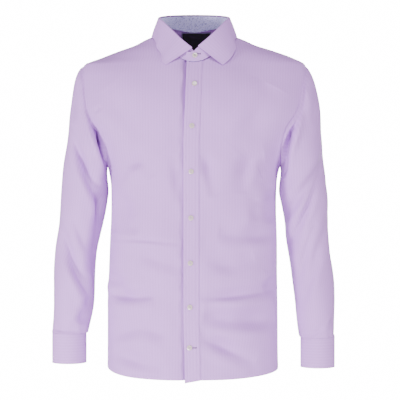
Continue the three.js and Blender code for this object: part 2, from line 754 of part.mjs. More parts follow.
// Level direction that points away from the neck.
function fromNeck(angle) {
  const c = Math.cos(rad(angle));
  const depth = c > 0 ? NECK_FRONT : NECK_BACK;
  const x = Math.sin(rad(angle)) / NECK_HALF_WIDTH;
  return new THREE.Vector3(x, -c / depth, 0).normalize();
}

// The end of the stand on the wearer's left lies over the other end.
function standStep(angle) {
  return STAND_STEP * (1 - smooth((angle - 14) / 60));
}

// Both ends of the stand get lower past the ends of the leaf.
function standPoint(angle, share) {
  const beyond = Math.max(smooth((5 - angle) / 14), smooth((angle - 355) / 14));
  const base = neckPoint(angle);
  base.z += STAND_RISE;
  const point = base.lerp(collarTop(angle), share * (1 - STAND_TAPER * beyond));
  return point.addScaledVector(fromNeck(angle), standStep(angle));
}

function standBand(inset, thickness) {
  const overlap = Math.asin(STAND_OVERLAP / NECK_HALF_WIDTH) * 180 / Math.PI;
  const points = [];
  for (let r = 0; r <= STAND_ROWS; r += 1) {
    for (let c = 0; c <= COLLAR_COLUMNS; c += 1) {
      const angle = mix(-overlap, 360 + overlap, c / COLLAR_COLUMNS);
      points.push(standPoint(angle, 1 - r / STAND_ROWS));
    }
  }
  const faces = gridNormals(points, STAND_ROWS, COLLAR_COLUMNS, false);
  faces.forEach(({ point, normal }) => point.addScaledVector(normal, -inset));
  return wall(faces, gridCells(STAND_ROWS, COLLAR_COLUMNS), thickness);
}

// Outer edge of the leaf, just off the body it lies on.
function leafEdge(angle) {
  const half = angle > 180 ? 360 - angle : angle;
  const z = column(LEAF_EDGE, "angle", half, "z");
  const form = column(LEAF_EDGE, "angle", half, "form");
  const lift = column(LEAF_EDGE, "angle", half, "lift");
  return worn(angle > 180 ? -form : form, z, lift, 0).point;
}

// The leaf folds over the top of the stand and falls outside it.
function collarLeaf() {
  const points = [];
  const rows = LEAF_FOLD.length + LEAF_ROWS;
  for (let r = 0; r < rows; r += 1) {
    for (let c = 0; c <= COLLAR_COLUMNS; c += 1) {
      const share = c / COLLAR_COLUMNS;
      const around = mix(LEAF_START, LEAF_END, share);
      const out = fromNeck(around);
      const over = STAND_STEP * smooth((around - 325) / 20);
      const top = collarTop(around).addScaledVector(out, standStep(around) + over);
      const fold = LEAF_FOLD[Math.min(r, LEAF_FOLD.length - 1)];
      const point = top.clone().addScaledVector(out, fold.out);
      point.z += fold.up;
      const down = (r - LEAF_FOLD.length + 1) / LEAF_ROWS;
      if (down > 0) {
        point.lerp(leafEdge(360 * share), down);
        point.addScaledVector(out, LEAF_BULGE * Math.sin(Math.PI * down));
      }
      points.push(point);
    }
  }
  const faces = gridNormals(points, rows - 1, COLLAR_COLUMNS, false);
  return wall(faces, gridCells(rows - 1, COLLAR_COLUMNS), LEAF_CLOTH);
}

function neckLabel() {
  const rows = 3;
  const columns = 4;
  const faces = [];
  for (let r = 0; r <= rows; r += 1) {
    for (let c = 0; c <= columns; c += 1) {
      const z = mix(LABEL.topZ, LABEL.bottomZ, r / rows);
      const x = mix(LABEL.right, LABEL.left, c / columns);
      const angle = 180 - angleAtX(x, z);
      faces.push(worn(angle, z, -CLOTH - LABEL_GAP, 0));
    }
  }
  return wall(faces, gridCells(rows, columns), LABEL_CLOTH);
}

// A button with a raised rim, standing along a direction.
function button(place, direction) {
  const rings = [
    { radius: BUTTON_RADIUS - 0.3, height: 0 },
    { radius: BUTTON_RADIUS, height: BUTTON_HEIGHT - 0.5 },
    { radius: BUTTON_RADIUS - 0.7, height: BUTTON_HEIGHT },
    { radius: BUTTON_RADIUS - 1.6, height: BUTTON_HEIGHT - 0.7 },
  ];
  const positions = [0, 0, 0];
  const indices = [];
  const at = (ring, i) => 1 + ring * BUTTON_SIDES + (i % BUTTON_SIDES);
  const last = rings.length - 1;
  rings.forEach(({ radius, height }) => {
    for (let i = 0; i < BUTTON_SIDES; i += 1) {
      const turned = (2 * Math.PI * i) / BUTTON_SIDES;
      positions.push(radius * Math.cos(turned), radius * Math.sin(turned), height);
    }
  });
  const top = positions.length / 3;
  positions.push(0, 0, rings[last].height);
  for (let i = 0; i < BUTTON_SIDES; i += 1) {
    indices.push(0, at(0, i + 1), at(0, i), top, at(last, i), at(last, i + 1));
    for (let ring = 0; ring < last; ring += 1) {
      indices.push(at(ring, i), at(ring, i + 1), at(ring + 1, i + 1));
      indices.push(at(ring, i), at(ring + 1, i + 1), at(ring + 1, i));
    }
  }
  const geometry = new THREE.BufferGeometry();
  geometry.setAttribute("position", new THREE.Float32BufferAttribute(positions, 3));
  geometry.setIndex(indices);
  const up = new THREE.Vector3(0, 0, 1);
  geometry.applyQuaternion(new THREE.Quaternion().setFromUnitVectors(up, direction));
  geometry.translate(place.x, place.y, place.z);
  geometry.computeVertexNormals();
  return geometry;
}

function frontButton({ x, z, rest }) {
  const { point, normal } = worn(angleAtX(x, z), z);
  point.addScaledVector(normal, 2 * SEAM_GAP + PLACKET_CLOTH + rest);
  return button(point, normal);
}

function collarButton() {
  const out = fromNeck(COLLAR_BUTTON.angle);
  const point = standPoint(COLLAR_BUTTON.angle, COLLAR_BUTTON.share);
  const lean = Math.atan2(NECK_FRONT - COLLAR_TOP.front, collarTop(0).z - neckPoint(0).z);
  const direction = new THREE.Vector3(0, -Math.cos(lean), Math.sin(lean));
  point.addScaledVector(out, SEAM_GAP + BUTTON_REST);
  return button(point, direction);
}

function cuffButton(name) {
  const { side, shift, cuffTop, cuffBottom } = SLEEVE_SIDES[name];
  const wrist = SLEEVE[SLEEVE.length - 1];
  const c = Math.cos(rad(CUFF_BUTTON_ANGLE));
  const s = Math.sin(rad(CUFF_BUTTON_ANGLE));
  const reach = CUFF_OVERLAP_STEP + SEAM_GAP + BUTTON_REST;
  const x = side * (wrist.x + (CUFF_HALF_WIDTH + reach) * c) + shift;
  const y = wrist.y - (CUFF_HALF_DEPTH + reach) * s;
  const place = new THREE.Vector3(x, y, (cuffTop + cuffBottom) / 2);
  return button(place, new THREE.Vector3(side * c, -s, 0).normalize());
}

// Each piece is a named body with a material of its own.
function addPiece(group, name, geometry, color, roughness = 0.85) {
  const material = new THREE.MeshStandardMaterial({ color, roughness, metalness: 0 });
  const piece = new THREE.Mesh(geometry, material);
  piece.name = name;
  group.add(piece);
}

const shirt = new THREE.Group();
shirt.name = "long_sleeve_dress_shirt";

addPiece(shirt, "front_right", frontPanel(-1), COLOURS.cloth);
addPiece(shirt, "front_left", frontPanel(1), COLOURS.cloth);
addPiece(shirt, "front_placket", placketStrip(), COLOURS.placket);
addPiece(shirt, "back", backPanel(), COLOURS.cloth);
addPiece(shirt, "yoke", yokePanel(), COLOURS.cloth);
["right", "left"].forEach((name) => {
  addPiece(shirt, `sleeve_${name}`, sleeve(name), COLOURS.cloth);
  addPiece(shirt, `sleeve_placket_${name}`, sleevePlacket(name), COLOURS.placket);
  addPiece(shirt, `cuff_${name}`, cuff(name), COLOURS.collar);
  addPiece(shirt, `button_cuff_${name}`, cuffButton(name), COLOURS.button, 0.35);
});
addPiece(shirt, "collar_stand", standBand(0, STAND_CLOTH), COLOURS.collar);
addPiece(shirt, "collar_stand_facing", standBand(STAND_CLOTH + SEAM_GAP, FACING_CLOTH), COLOURS.facing);
addPiece(shirt, "collar_leaf", collarLeaf(), COLOURS.collar);
addPiece(shirt, "neck_label", neckLabel(), COLOURS.label);
addPiece(shirt, "button_collar", collarButton(), COLOURS.button, 0.35);
FRONT_BUTTONS.forEach((place, i) => {
  addPiece(shirt, `button_front_${i + 1}`, frontButton(place), COLOURS.button, 0.35);
});

export default shirt;
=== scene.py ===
import math

import bpy
import numpy as np
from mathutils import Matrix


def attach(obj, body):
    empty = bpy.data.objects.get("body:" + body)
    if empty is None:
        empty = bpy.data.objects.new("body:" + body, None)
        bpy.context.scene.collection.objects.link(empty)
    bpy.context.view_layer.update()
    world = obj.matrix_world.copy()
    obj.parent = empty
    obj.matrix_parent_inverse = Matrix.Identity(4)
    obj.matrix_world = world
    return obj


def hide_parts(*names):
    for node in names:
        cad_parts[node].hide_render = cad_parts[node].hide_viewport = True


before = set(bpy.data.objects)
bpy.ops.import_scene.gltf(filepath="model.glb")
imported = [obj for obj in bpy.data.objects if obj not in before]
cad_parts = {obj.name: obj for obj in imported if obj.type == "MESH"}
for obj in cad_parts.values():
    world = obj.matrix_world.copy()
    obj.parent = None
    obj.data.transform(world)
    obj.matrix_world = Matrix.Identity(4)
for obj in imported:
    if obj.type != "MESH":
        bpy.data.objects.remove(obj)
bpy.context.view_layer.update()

bl_info = {
    "name": "Long Sleeve Dress Shirt",
    "version": (1, 0, 0),
    "blender": (4, 5, 0),
    "location": "3D View > Sidebar > Shirt",
    "description": "Dresses the solids of a long sleeve dress shirt in worn cloth",
    "category": "Object",
}

# Sizes in the tables are in millimetres; the scene is in metres.
MM = 0.001


def table(keys, *rows):
    """Rows of values as dictionaries that share their keys."""
    return [dict(zip(keys.split(), row)) for row in rows]


def crease(width, depth, steep, *path):
    """A crease along places on the cloth. Negative depth is a ridge."""
    return {"path": list(path), "width": width, "depth": depth, "steep": steep}


ROUND = 2.4

BODY = table(
    "z width front back shift",
    (30, 70, 14, 50, 0),
    (14, 74, 17, 57, 0),
    (3, 79, 24, 64, 0),
    (-1, 92, 28, 66, 0),
    (-7, 107, 34, 69, 1),
    (-20, 133.5, 46, 76, 3),
    (-33, 171.5, 56, 83, 5.5),
    (-46, 206, 65, 89, 7),
    (-64, 243, 76, 97, 1.5),
    (-90, 250, 90, 106, 0),
    (-130, 251, 106, 115, 0),
    (-160, 249, 113, 119, 0),
    (-185, 243, 116, 121, 0),
    (-208, 230, 117, 121, 0),
    (-230, 215, 117, 120, 0),
    (-250, 203, 116, 118, 0),
    (-268, 195.5, 115, 116, 0),
    (-285, 189.5, 114, 114, -0.5),
    (-308, 184, 112, 112, -1),
    (-330, 181.5, 110, 109, -0.5),
    (-370, 181, 108, 106, -0.5),
    (-450, 183.5, 109, 108, -1.5),
    (-600, 186.5, 115, 116, -3),
    (-800, 187.5, 117, 118, -3.5),
)

ARMHOLE = table(
    "z front back",
    (-64, 0, 0),
    (-70, 14, 15),
    (-84, 28, 29),
    (-104, 39, 41),
    (-130, 47, 51),
    (-160, 54, 58),
    (-185, 62, 61),
    (-208, 67, 61),
    (-230, 63, 57),
    (-250, 54, 49),
    (-268, 40, 37),
    (-280, 22, 21),
    (-285, 0, 0),
)
UNDERARM_Z = -285

NECK_HALF_WIDTH = 77
NECK_FRONT = 76
NECK_BACK = 57

YOKE_NECK_ANGLE = 82
YOKE_ARM_FRONT = 0.05
YOKE_ARM_BACK = 0.17
YOKE_BACK_Z = -98

HEM_SIDE_Z = -721
HEM_FRONT_DROP = 20
HEM_CURVE = {1: 0.9, -1: 2.6}
HEM_BACK_DROP = 37
HEM_CORNER_DROP = 6

PLACKET_HALF = 16.8
PLACKET_LINE = table(
    "z x",
    (-60, 1.5),
    (-93, -0.2),
    (-156, -2.2),
    (-190, -3.7),
    (-245, -5.4),
    (-600, -5.4),
    (-672, -3.6),
    (-745, -2.4),
)
UNDERLAP = 13
UNDERLAP_STEP = 2.2

SLEEVE = table(
    "z x y half_width half_depth",
    (-345, 240.5, 2, 51.5, 64),
    (-398, 247.5, 3, 49.7, 60),
    (-451, 253, 2, 47.5, 57),
    (-521, 259.5, -3, 45, 53),
    (-592, 265.5, -10, 43, 49),
    (-630, 268.5, -14, 41, 45),
    (-670, 271, -18, 37.4, 39),
)
SLEEVE_SIDES = {
    "left": {"side": 1, "shift": -1, "cuff_top": -658, "cuff_bottom": -723},
    "right": {"side": -1, "shift": -1.5, "cuff_top": -648.5, "cuff_bottom": -713.5},
}
CAP_SPRING = 0.42
ARMHOLE_GAP = 0.5
CUFF_HALF_WIDTH = 37.6
CUFF_HALF_DEPTH = 38.6
CUFF_START = -110
CUFF_OVERLAP_ANGLE = 40
CUFF_OVERLAP_STEP = 2.6

COLLAR_TOP = {
    "half_width": 77.5, "front": 69, "back": 50,
    "front_z": -36, "side_z": 38, "back_z": 52,
}
STAND_OVERLAP = 16
STAND_STEP = 3.2
STAND_RISE = 2.4
STAND_TAPER = 0.4
LEAF_EDGE = table(
    "angle form z lift",
    (0, 10.8, -71, 3.2),
    (30, 18.2, -46, 3.6),
    (60, 36, -20, 3.2),
    (75, 48, -10, 2.8),
    (90, 84, -0.5, 2.8),
    (120, 127, 3, 6),
    (150, 156, 5, 6),
    (180, 180, 6, 6),
)
LEAF_START = 6.5
LEAF_END = 357
LEAF_BULGE = 0.5
LEAF_FOLD = table(
    "share out up",
    (0.00, -2.6, 1.6),
    (0.03, -1.6, 2.9),
    (0.06, 0.4, 3.4),
    (0.09, 2.2, 2.7),
    (0.12, 2.8, 0.6),
)

LABEL_GAP = 0.9
LABEL = {"left": -29, "right": 38, "top_z": 17, "bottom_z": -26}

BUTTON_RADIUS = 5.6
BUTTON_HEIGHT = 2.4
FRONT_BUTTONS = table(
    "z x turn",
    (-112, 1.3, 12),
    (-202, -4.2, 40),
    (-298.5, -5.7, -20),
    (-397, -6.3, 65),
    (-493, -7.4, 5),
    (-586, -8.4, 30),
    (-671.5, -9.2, -35),
)
COLLAR_BUTTON = {"angle": 1.4, "share": 0.52}
CUFF_BUTTON_ANGLE = 262

# Folds of the body as soft troughs (positive depth) and ridges, in the front or back view.
FRONT_FOLDS = table(
    "x z to_x to_z width depth",
    (205, -215, 150, -330, 17, 4.5),
    (165, -250, 120, -360, 15, 3),
    (172, -262, 130, -262, 16, -3),
    (-205, -225, -165, -340, 17, 4),
    (-150, -290, -95, -345, 16, 3),
    (-182, -570, -80, -562, 15, 3.5),
    (182, -560, 95, -552, 15, 3.5),
    (165, -612, 40, -606, 17, 4),
    (30, -655, 130, -715, 16, 3.5),
    (150, -640, 45, -632, 14, -2.5),
    (-178, -520, -140, -600, 16, 3),
)
# Creases as seen from the front or the back: width, depth, how much steeper one side is, and
# the places (x, z) along each.
FRONT_CREASES = [
    crease(17, 10.7, 1.4, (-160, -322), (-142, -286), (-112, -280), (-90, -312)),
    crease(17, 8.1, 1.2, (-152, -334), (-150, -374), (-140, -412), (-114, -414)),
    crease(17, 11.2, 1.4, (104, -345), (106, -305), (124, -276), (152, -268)),
    crease(16, 7.5, 1.2, (140, -358), (136, -385), (142, -414)),
    crease(14, 9.4, 1.3, (17, -262), (30, -295), (45, -352)),
    crease(14, 6.9, 1.3, (-40, -262), (-34, -317), (-25, -362)),
    crease(5, 3.5, 1.6, (-185, -444), (-104, -446), (-23, -453)),
    crease(17, 11.2, 1.3, (52, -431), (119, -435), (180, -429)),
    crease(14, 12.5, 2.2, (-190, -560), (-140, -567), (-84, -563)),
    crease(14, 13.1, 2.2, (4, -566), (87, -563), (178, -552)),
    crease(22, 16.2, 1.2, (20, -604), (98, -616), (175, -611)),
    crease(16, 11.2, 1.6, (10, -648), (66, -671), (133, -703)),
    crease(14, 10.0, 1.3, (-186, -505), (-174, -531), (-150, -556)),
    crease(18, 9.4, 1.3, (-182, -652), (-114, -632), (-55, -647)),
    crease(16, 9.4, 1.4, (-178, -681), (-125, -702), (-64, -713)),
    crease(26, 7.5, 1.0, (-190, -120), (-140, -190), (-66, -256)),
    crease(26, 8.7, 1.0, (172, -116), (134, -189), (84, -250)),
    crease(14, 10.0, 1.3, (190, -500), (176, -530), (150, -548)),
    crease(18, 9.4, 1.0, (-178, -330), (-166, -380), (-172, -430)),
    crease(18, 9.4, 1.0, (176, -330), (166, -372), (172, -410)),
    crease(5, 2.6, 1.2, (-214, -172), (-206, -166), (-196, -160)),
    crease(16, 5.6, 1.2, (-120, -470), (-70, -490), (-26, -500)),
    crease(16, 5.6, 1.2, (30, -488), (80, -497), (130, -480)),
]
BACK_FOLDS = table(
    "x z to_x to_z width depth",
    (195, -230, 120, -380, 18, 4.5),
    (-198, -235, -125, -365, 18, 4.5),
    (-150, -470, 10, -440, 17, 4),
    (165, -520, 30, -485, 16, 4),
    (-170, -585, -40, -560, 17, 3.5),
    (150, -640, 20, -610, 16, 3),
)
BACK_CREASES = [
    crease(16, 6.3, 1.4, (150, -300), (120, -330), (96, -395)),
    crease(16, 6.7, 1.4, (-154, -296), (-122, -340), (-104, -400)),
    crease(15, 6.3, 1.4, (180, -446), (100, -440), (34, -452)),
    crease(15, 5.9, 1.4, (-182, -430), (-110, -442), (-52, -436)),
    crease(15, 7.8, 2.0, (184, -556), (96, -566), (10, -560)),
    crease(15, 7.0, 2.0, (-184, -560), (-96, -555), (-30, -568)),
    crease(20, 8.7, 1.2, (-170, -610), (-90, -622), (-12, -610)),
    crease(16, 6.3, 1.4, (160, -640), (84, -668), (20, -676)),
    crease(22, 5.0, 1.0, (90, -150), (130, -205), (150, -262)),
    crease(22, 5.0, 1.0, (-84, -150), (-126, -210), (-148, -266)),
    crease(18, 4.8, 1.2, (-60, -486), (0, -506), (56, -494)),
]

# Folds of the sleeves: angle 0 is outside, 90 at the front, 180 inside.
SLEEVE_FOLDS = {
    "right": table(
        "angle z to_angle to_z width depth",
        (45, -210, 178, -420, 15, 9),
        (20, -170, 120, -330, 13, -4),
        (30, -420, 155, -578, 14, 7),
        (55, -500, 150, -610, 12, -3),
        (330, -230, 205, -400, 15, 7),
        (320, -430, 215, -560, 14, 6),
    ),
    "left": table(
        "angle z to_angle to_z width depth",
        (5, -262, 176, -418, 15, 9),
        (40, -345, 130, -475, 11, 4),
        (12, -385, 152, -592, 14, 7),
        (40, -470, 130, -600, 12, -3),
        (335, -250, 200, -410, 15, 7),
        (325, -440, 215, -585, 14, 6),
    ),
}
SLEEVE_CREASES = {
    "right": {
        "front": [
            crease(9, -6.0, 1.0, (-176, -255), (-176, -285), (-180, -318)),
            crease(11, 9.0, 1.0, (-196, -330), (-203, -380), (-212, -440), (-224, -520)),
            crease(10, 34.0, 1.0, (-222, -160), (-212, -196), (-200, -230), (-188, -268), (-180, -305)),
            crease(10, 13.5, 2.2, (-272, -196), (-255, -257), (-236, -301), (-212, -353), (-201, -392)),
            crease(11, -4.4, 1.0, (-247, -214), (-221, -283), (-200, -330)),
            crease(10, 10.0, 2.2, (-292, -414), (-273, -478), (-250, -526), (-222, -574)),
            crease(12, 4.7, 1.3, (-288, -312), (-268, -385), (-242, -441), (-218, -486)),
            crease(6, 3.9, 1.8, (-307, -636), (-277, -647), (-246, -645)),
            crease(13, 13.0, 1.2, (-225, -566), (-234, -601), (-246, -628)),
            crease(9, 2.9, 1.2, (-262, -104), (-266, -150), (-258, -190)),
        ],
        "back": [
            crease(9, -6.0, 1.0, (-176, -255), (-176, -285), (-180, -318)),
            crease(12, 9.1, 1.6, (-278, -220), (-248, -290), (-214, -372)),
            crease(11, 6.5, 1.8, (-292, -400), (-262, -462), (-226, -520)),
            crease(10, 4.7, 1.4, (-300, -540), (-272, -590), (-240, -616)),
        ],
    },
    "left": {
        "front": [
            crease(9, -4.0, 1.0, (182, -255), (182, -285), (186, -318)),
            crease(10, 28.0, 1.0, (190, -312), (193, -270), (199, -236), (209, -200), (222, -160)),
            crease(10, 12.0, 2.2, (292, -276), (257, -347), (229, -404), (206, -455)),
            crease(10, -3.9, 1.0, (276, -330), (250, -388), (228, -436)),
            crease(10, 7.0, 1.8, (266, -408), (238, -474), (221, -556)),
            crease(12, 6.0, 1.4, (300, -232), (268, -294), (236, -337), (206, -374)),
            crease(11, 4.2, 1.4, (278, -486), (251, -543), (234, -600)),
            crease(6, 3.9, 1.8, (234, -655), (260, -649), (280, -632)),
            crease(7, 3.9, 1.2, (305, -606), (300, -622), (293, -640)),
            crease(9, 2.9, 1.2, (258, -104), (262, -150), (256, -196)),
        ],
        "back": [
            crease(9, -4.0, 1.0, (182, -255), (182, -285), (186, -318)),
            crease(12, 9.1, 1.6, (282, -226), (250, -296), (214, -380)),
            crease(11, 6.5, 1.8, (294, -410), (262, -470), (228, -530)),
            crease(10, 4.4, 1.4, (302, -548), (272, -598), (240, -622)),
        ],
    },
}


def mix(a, b, t):
    return a + (b - a) * t


def smooth(t):
    t = np.clip(t, 0.0, 1.0)
    return t * t * (3 - 2 * t)


def power(value, exponent):
    return np.sign(value) * np.abs(value) ** exponent


def column(table, key, at, name):
    """Smooth value of one column of a table, without overshoot between its rows."""
    rows = sorted(table, key=lambda row: row[key])
    x = np.array([row[key] for row in rows], float)
    y = np.array([row[name] for row in rows], float)
    slopes = np.diff(y) / np.diff(x)
    tangents = np.empty_like(y)
    tangents[0] = slopes[0]
    tangents[-1] = slopes[-1]
    before, after = slopes[:-1], slopes[1:]
    same = before * after > 0
    total = np.where(same, before + after, 1.0)
    tangents[1:-1] = np.where(same, 2 * before * after / total, 0.0)
    at = np.clip(np.asarray(at, float), x[0], x[-1])
    i = np.clip(np.searchsorted(x, at, side="right") - 1, 0, len(x) - 2)
    step = x[i + 1] - x[i]
    t = (at - x[i]) / step
    rise = t * t * (3 - 2 * t)
    leave = t * (1 - t) ** 2 * step * tangents[i]
    arrive = -t * t * (1 - t) * step * tangents[i + 1]
    return mix(y[i], y[i + 1], rise) + leave + arrive


def body(z, name):
    return column(BODY, "z", z, name)


def stack(x, y, z):
    return np.stack(np.broadcast_arrays(x, y, z), axis=-1).astype(float)


def unit(vectors):
    length = np.linalg.norm(vectors, axis=-1, keepdims=True)
    return vectors / np.maximum(length, 1e-9)


def body_point(angle, z):
    """Point of the body form: angle 0 is the centre front, 90 the wearer's left."""
    s = np.sin(np.radians(angle))
    c = np.cos(np.radians(angle))
    depth = np.where(c > 0, body(z, "front"), body(z, "back"))
    x = body(z, "width") * power(s, 2 / ROUND) + body(z, "shift")
    return stack(x, -depth * power(c, 2 / ROUND), z)


def body_level(x, y, z):
    depth = np.where(y < 0, body(z, "front"), body(z, "back"))
    across = np.abs((x - body(z, "shift")) / body(z, "width"))
    return across ** ROUND + np.abs(y / depth) ** ROUND


def body_normal(points):
    x, y, z = points[..., 0], points[..., 1], points[..., 2]
    q = (x - body(z, "shift")) / body(z, "width")
    depth = np.where(y < 0, body(z, "front"), body(z, "back"))
    dx = power(q, ROUND - 1) * ROUND / body(z, "width")
    dy = power(y / depth, ROUND - 1) * ROUND / depth
    dz = body_level(x, y, z + 0.5) - body_level(x, y, z - 0.5)
    return unit(stack(dx, dy, dz))


def angle_at_x(x, z):
    q = (x - body(z, "shift")) / body(z, "width")
    return np.degrees(np.arcsin(np.clip(power(q, ROUND / 2), -1, 1)))


def neck_point(angle):
    """Point of the neck line, an oval cut down through the body form."""
    angle = np.asarray(angle, float)
    c = np.cos(np.radians(angle))
    x = NECK_HALF_WIDTH * np.sin(np.radians(angle))
    y = -np.where(c > 0, NECK_FRONT, NECK_BACK) * c
    low = np.full(x.shape, -90.0)
    high = np.full(x.shape, 30.0)
    for _ in range(40):
        z = (low + high) / 2
        outside = body_level(x, y, z) > 1
        high = np.where(outside, z, high)
        low = np.where(outside, low, z)
    return stack(x, y, (low + high) / 2)


def on_form(points):
    """Angle on the form of points that lie on it."""
    x, y, z = points[..., 0], points[..., 1], points[..., 2]
    depth = np.where(y < 0, body(z, "front"), body(z, "back"))
    s = power((x - body(z, "shift")) / body(z, "width"), ROUND / 2)
    c = power(-y / depth, ROUND / 2)
    angle = np.degrees(np.arctan2(s, c))
    return np.where(angle < -100, angle + 360, angle)


def armhole(place, name):
    """Angle and height along the armhole: place 0 at the shoulder, 1 under the arm."""
    steps = [0.0]
    for before, row in zip(ARMHOLE, ARMHOLE[1:]):
        steps.append(steps[-1] + math.hypot(row["z"] - before["z"], row[name] - before[name]))
    spread = [
        {"length": length, "z": row["z"], "depth": row[name]}
        for length, row in zip(steps, ARMHOLE)
    ]
    at = np.clip(place, 0, 1) * steps[-1]
    z = column(spread, "length", at, "z")
    depth = np.maximum(0, column(spread, "length", at, "depth"))
    form = body(z, name)
    c = np.degrees(np.arcsin((depth / form) ** (ROUND / 2)))
    return (90 - c if name == "front" else 90 + c), z


def placket_x(z):
    return column(PLACKET_LINE, "z", z, "x")


def fold_depth(folds, x, z):
    """How far folds move a point of the body inwards."""
    depth = np.zeros(np.broadcast(x, z).shape)
    for fold in folds:
        dx = fold["to_x"] - fold["x"]
        dz = fold["to_z"] - fold["z"]
        t = np.clip(((x - fold["x"]) * dx + (z - fold["z"]) * dz) / (dx * dx + dz * dz), 0, 1)
        away = np.hypot(x - fold["x"] - t * dx, z - fold["z"] - t * dz) / fold["width"]
        depth += fold["depth"] * np.exp(-away * away) * (0.45 + 0.55 * np.sin(np.pi * t))
    return depth


def smooth_path(path):
    """Closer places on a smooth curve through the places of a path."""
    places = np.array(path, float)
    at = np.arange(len(places))
    close = np.linspace(0, len(places) - 1, 6 * (len(places) - 1) + 1)
    ends = np.vstack([2 * places[0] - places[1], places, 2 * places[-1] - places[-2]])
    i = np.clip(np.floor(close).astype(int), 0, len(at) - 2)
    t = (close - i)[:, None]
    a, b, c, d = ends[i], ends[i + 1], ends[i + 2], ends[i + 3]
    curve = 2 * b + (c - a) * t + (2 * a - 5 * b + 4 * c - d) * t ** 2
    return 0.5 * (curve + (3 * b - a - 3 * c + d) * t ** 3)


def crease_depth(creases, x, z):
    """Creases along curved paths, steeper on one side, running out softly at their ends."""
    depth = np.zeros(np.broadcast(x, z).shape)
    for crease in creases:
        places = smooth_path(crease["path"])
        nearest = np.full(depth.shape, 1e9)
        signed = np.zeros(depth.shape)
        along = np.zeros(depth.shape)
        for i in range(len(places) - 1):
            (ax, az), (bx, bz) = places[i], places[i + 1]
            dx, dz = bx - ax, bz - az
            square = dx * dx + dz * dz
            t = np.clip(((x - ax) * dx + (z - az) * dz) / square, 0, 1)
            off = np.hypot(x - ax - t * dx, z - az - t * dz)
            side = np.sign((x - ax) * dz - (z - az) * dx)
            closer = off < nearest
            nearest = np.where(closer, off, nearest)
            signed = np.where(closer, off * side, signed)
            along = np.where(closer, (i + t) / (len(places) - 1), along)
        away = signed / crease["width"]
        ends = np.sin(np.pi * np.clip(along, 0, 1)) ** 0.7
        uneven = 0.8 + 0.2 * np.sin(9 * along + places[0][0])
        slope = np.where(away > 0, crease["steep"], 0.8)
        trough = np.exp(-(away * slope) ** 2)
        shoulder = 0.35 * np.exp(-((away - 1.5) * 1.2) ** 2)
        depth += crease["depth"] * ends * uneven * (trough - shoulder)
    return depth


def ripple(x, z):
    """Slight unevenness of pressed cotton, a sum of long waves of unequal length."""
    wave = 1.60 * np.sin(x / 44 + z / 60 + 1.3 * np.sin(z / 83) + 0.4)
    wave += 1.30 * np.sin(z / 34 + 1.1 * np.sin(x / 57) + 1.9)
    wave += 0.60 * np.sin(x / 17 - z / 39 + 2.2 * np.sin(z / 120))
    wave += 0.35 * np.sin(x / 23 + z / 15 + 1.7 * np.sin(x / 70))
    return wave


def worn(angle, z, step=0.0, fold_share=1.0, fine=1.0):
    """Outside face of the worn cloth at an angle and height, and its normal."""
    points = body_point(angle, z)
    normals = body_normal(points)
    x, y = points[..., 0], points[..., 1]
    front = np.cos(np.radians(angle)) > 0
    seam = smooth(np.abs(y) / 45)
    away = np.abs(x - placket_x(z))
    edge = np.where(front, smooth((away - 22) / 30), 1)
    near = np.where(front, smooth((away - 10) / 24), 1)
    big = np.where(front, fold_depth(FRONT_FOLDS, x, z), fold_depth(BACK_FOLDS, x, z))
    small = np.where(front, crease_depth(FRONT_CREASES, x, z), crease_depth(BACK_CREASES, x, z))
    inwards = big * seam * edge * fold_share
    inwards = inwards + fine * seam * (small * mix(0.3, 1, near) + ripple(x, z) * near)
    shift = np.asarray(step) - inwards
    return points + normals * shift[..., None], normals


def grid_normals(points, closed=False):
    """Normals of a grid of points, from its neighbours along and across."""
    rows = points.shape[0]
    columns = points.shape[1]
    down = points[np.minimum(np.arange(rows) + 1, rows - 1)] - points[np.maximum(np.arange(rows) - 1, 0)]
    ahead = np.arange(columns) + 1
    behind = np.arange(columns) - 1
    if closed:
        ahead = ahead % columns
        behind = behind % columns
    else:
        ahead = np.minimum(ahead, columns - 1)
        behind = np.maximum(behind, 0)
    across = points[:, ahead] - points[:, behind]
    return unit(np.cross(down, across))


def hem_z(angle):
    c = np.cos(np.radians(angle))
    curve = np.where(angle < 0, HEM_CURVE[-1], HEM_CURVE[1])
    front = HEM_FRONT_DROP * np.abs(c) ** curve
    back = HEM_BACK_DROP * np.abs(c) ** 1.5
    return HEM_SIDE_Z - np.where(c > 0, front, back)


NECK_ROWS = 6
ARM_ROWS = 7
SKIRT_ROWS = 18
FRONT_COLUMNS = 12
BACK_ARM_ROWS = 9
BACK_COLUMNS = 20
CAP_ROWS = 9
SLEEVE_ROWS = 15
SEAM_GAP = 0.3
CLOTH = 1.2
PLACKET_CLOTH = 1.2


def own_edges(side):
    return [-PLACKET_HALF, 0, PLACKET_HALF] if side > 0 else [-UNDERLAP, 2, PLACKET_HALF]


def placket_seam(side, off, z):
    """The cloth dips beside the placket, in uneven scallops along its length."""
    wave = 0.6 + 0.4 * np.sin(z / 7.5 + 2.1 * np.sin(z / 41))
    if side > 0:
        return 0.5 * wave * np.exp(-((off - 1.0) / 2.4) ** 2)
    upper = 0.45 + 0.75 * np.exp(-((z + 110) / 70) ** 2)
    edge = 6.0 * np.exp(-((off - 0.4) / 2.2) ** 2)
    return (edge + 3.2 * wave * np.exp(-((off - 4.5) / 4.5) ** 2)) * upper


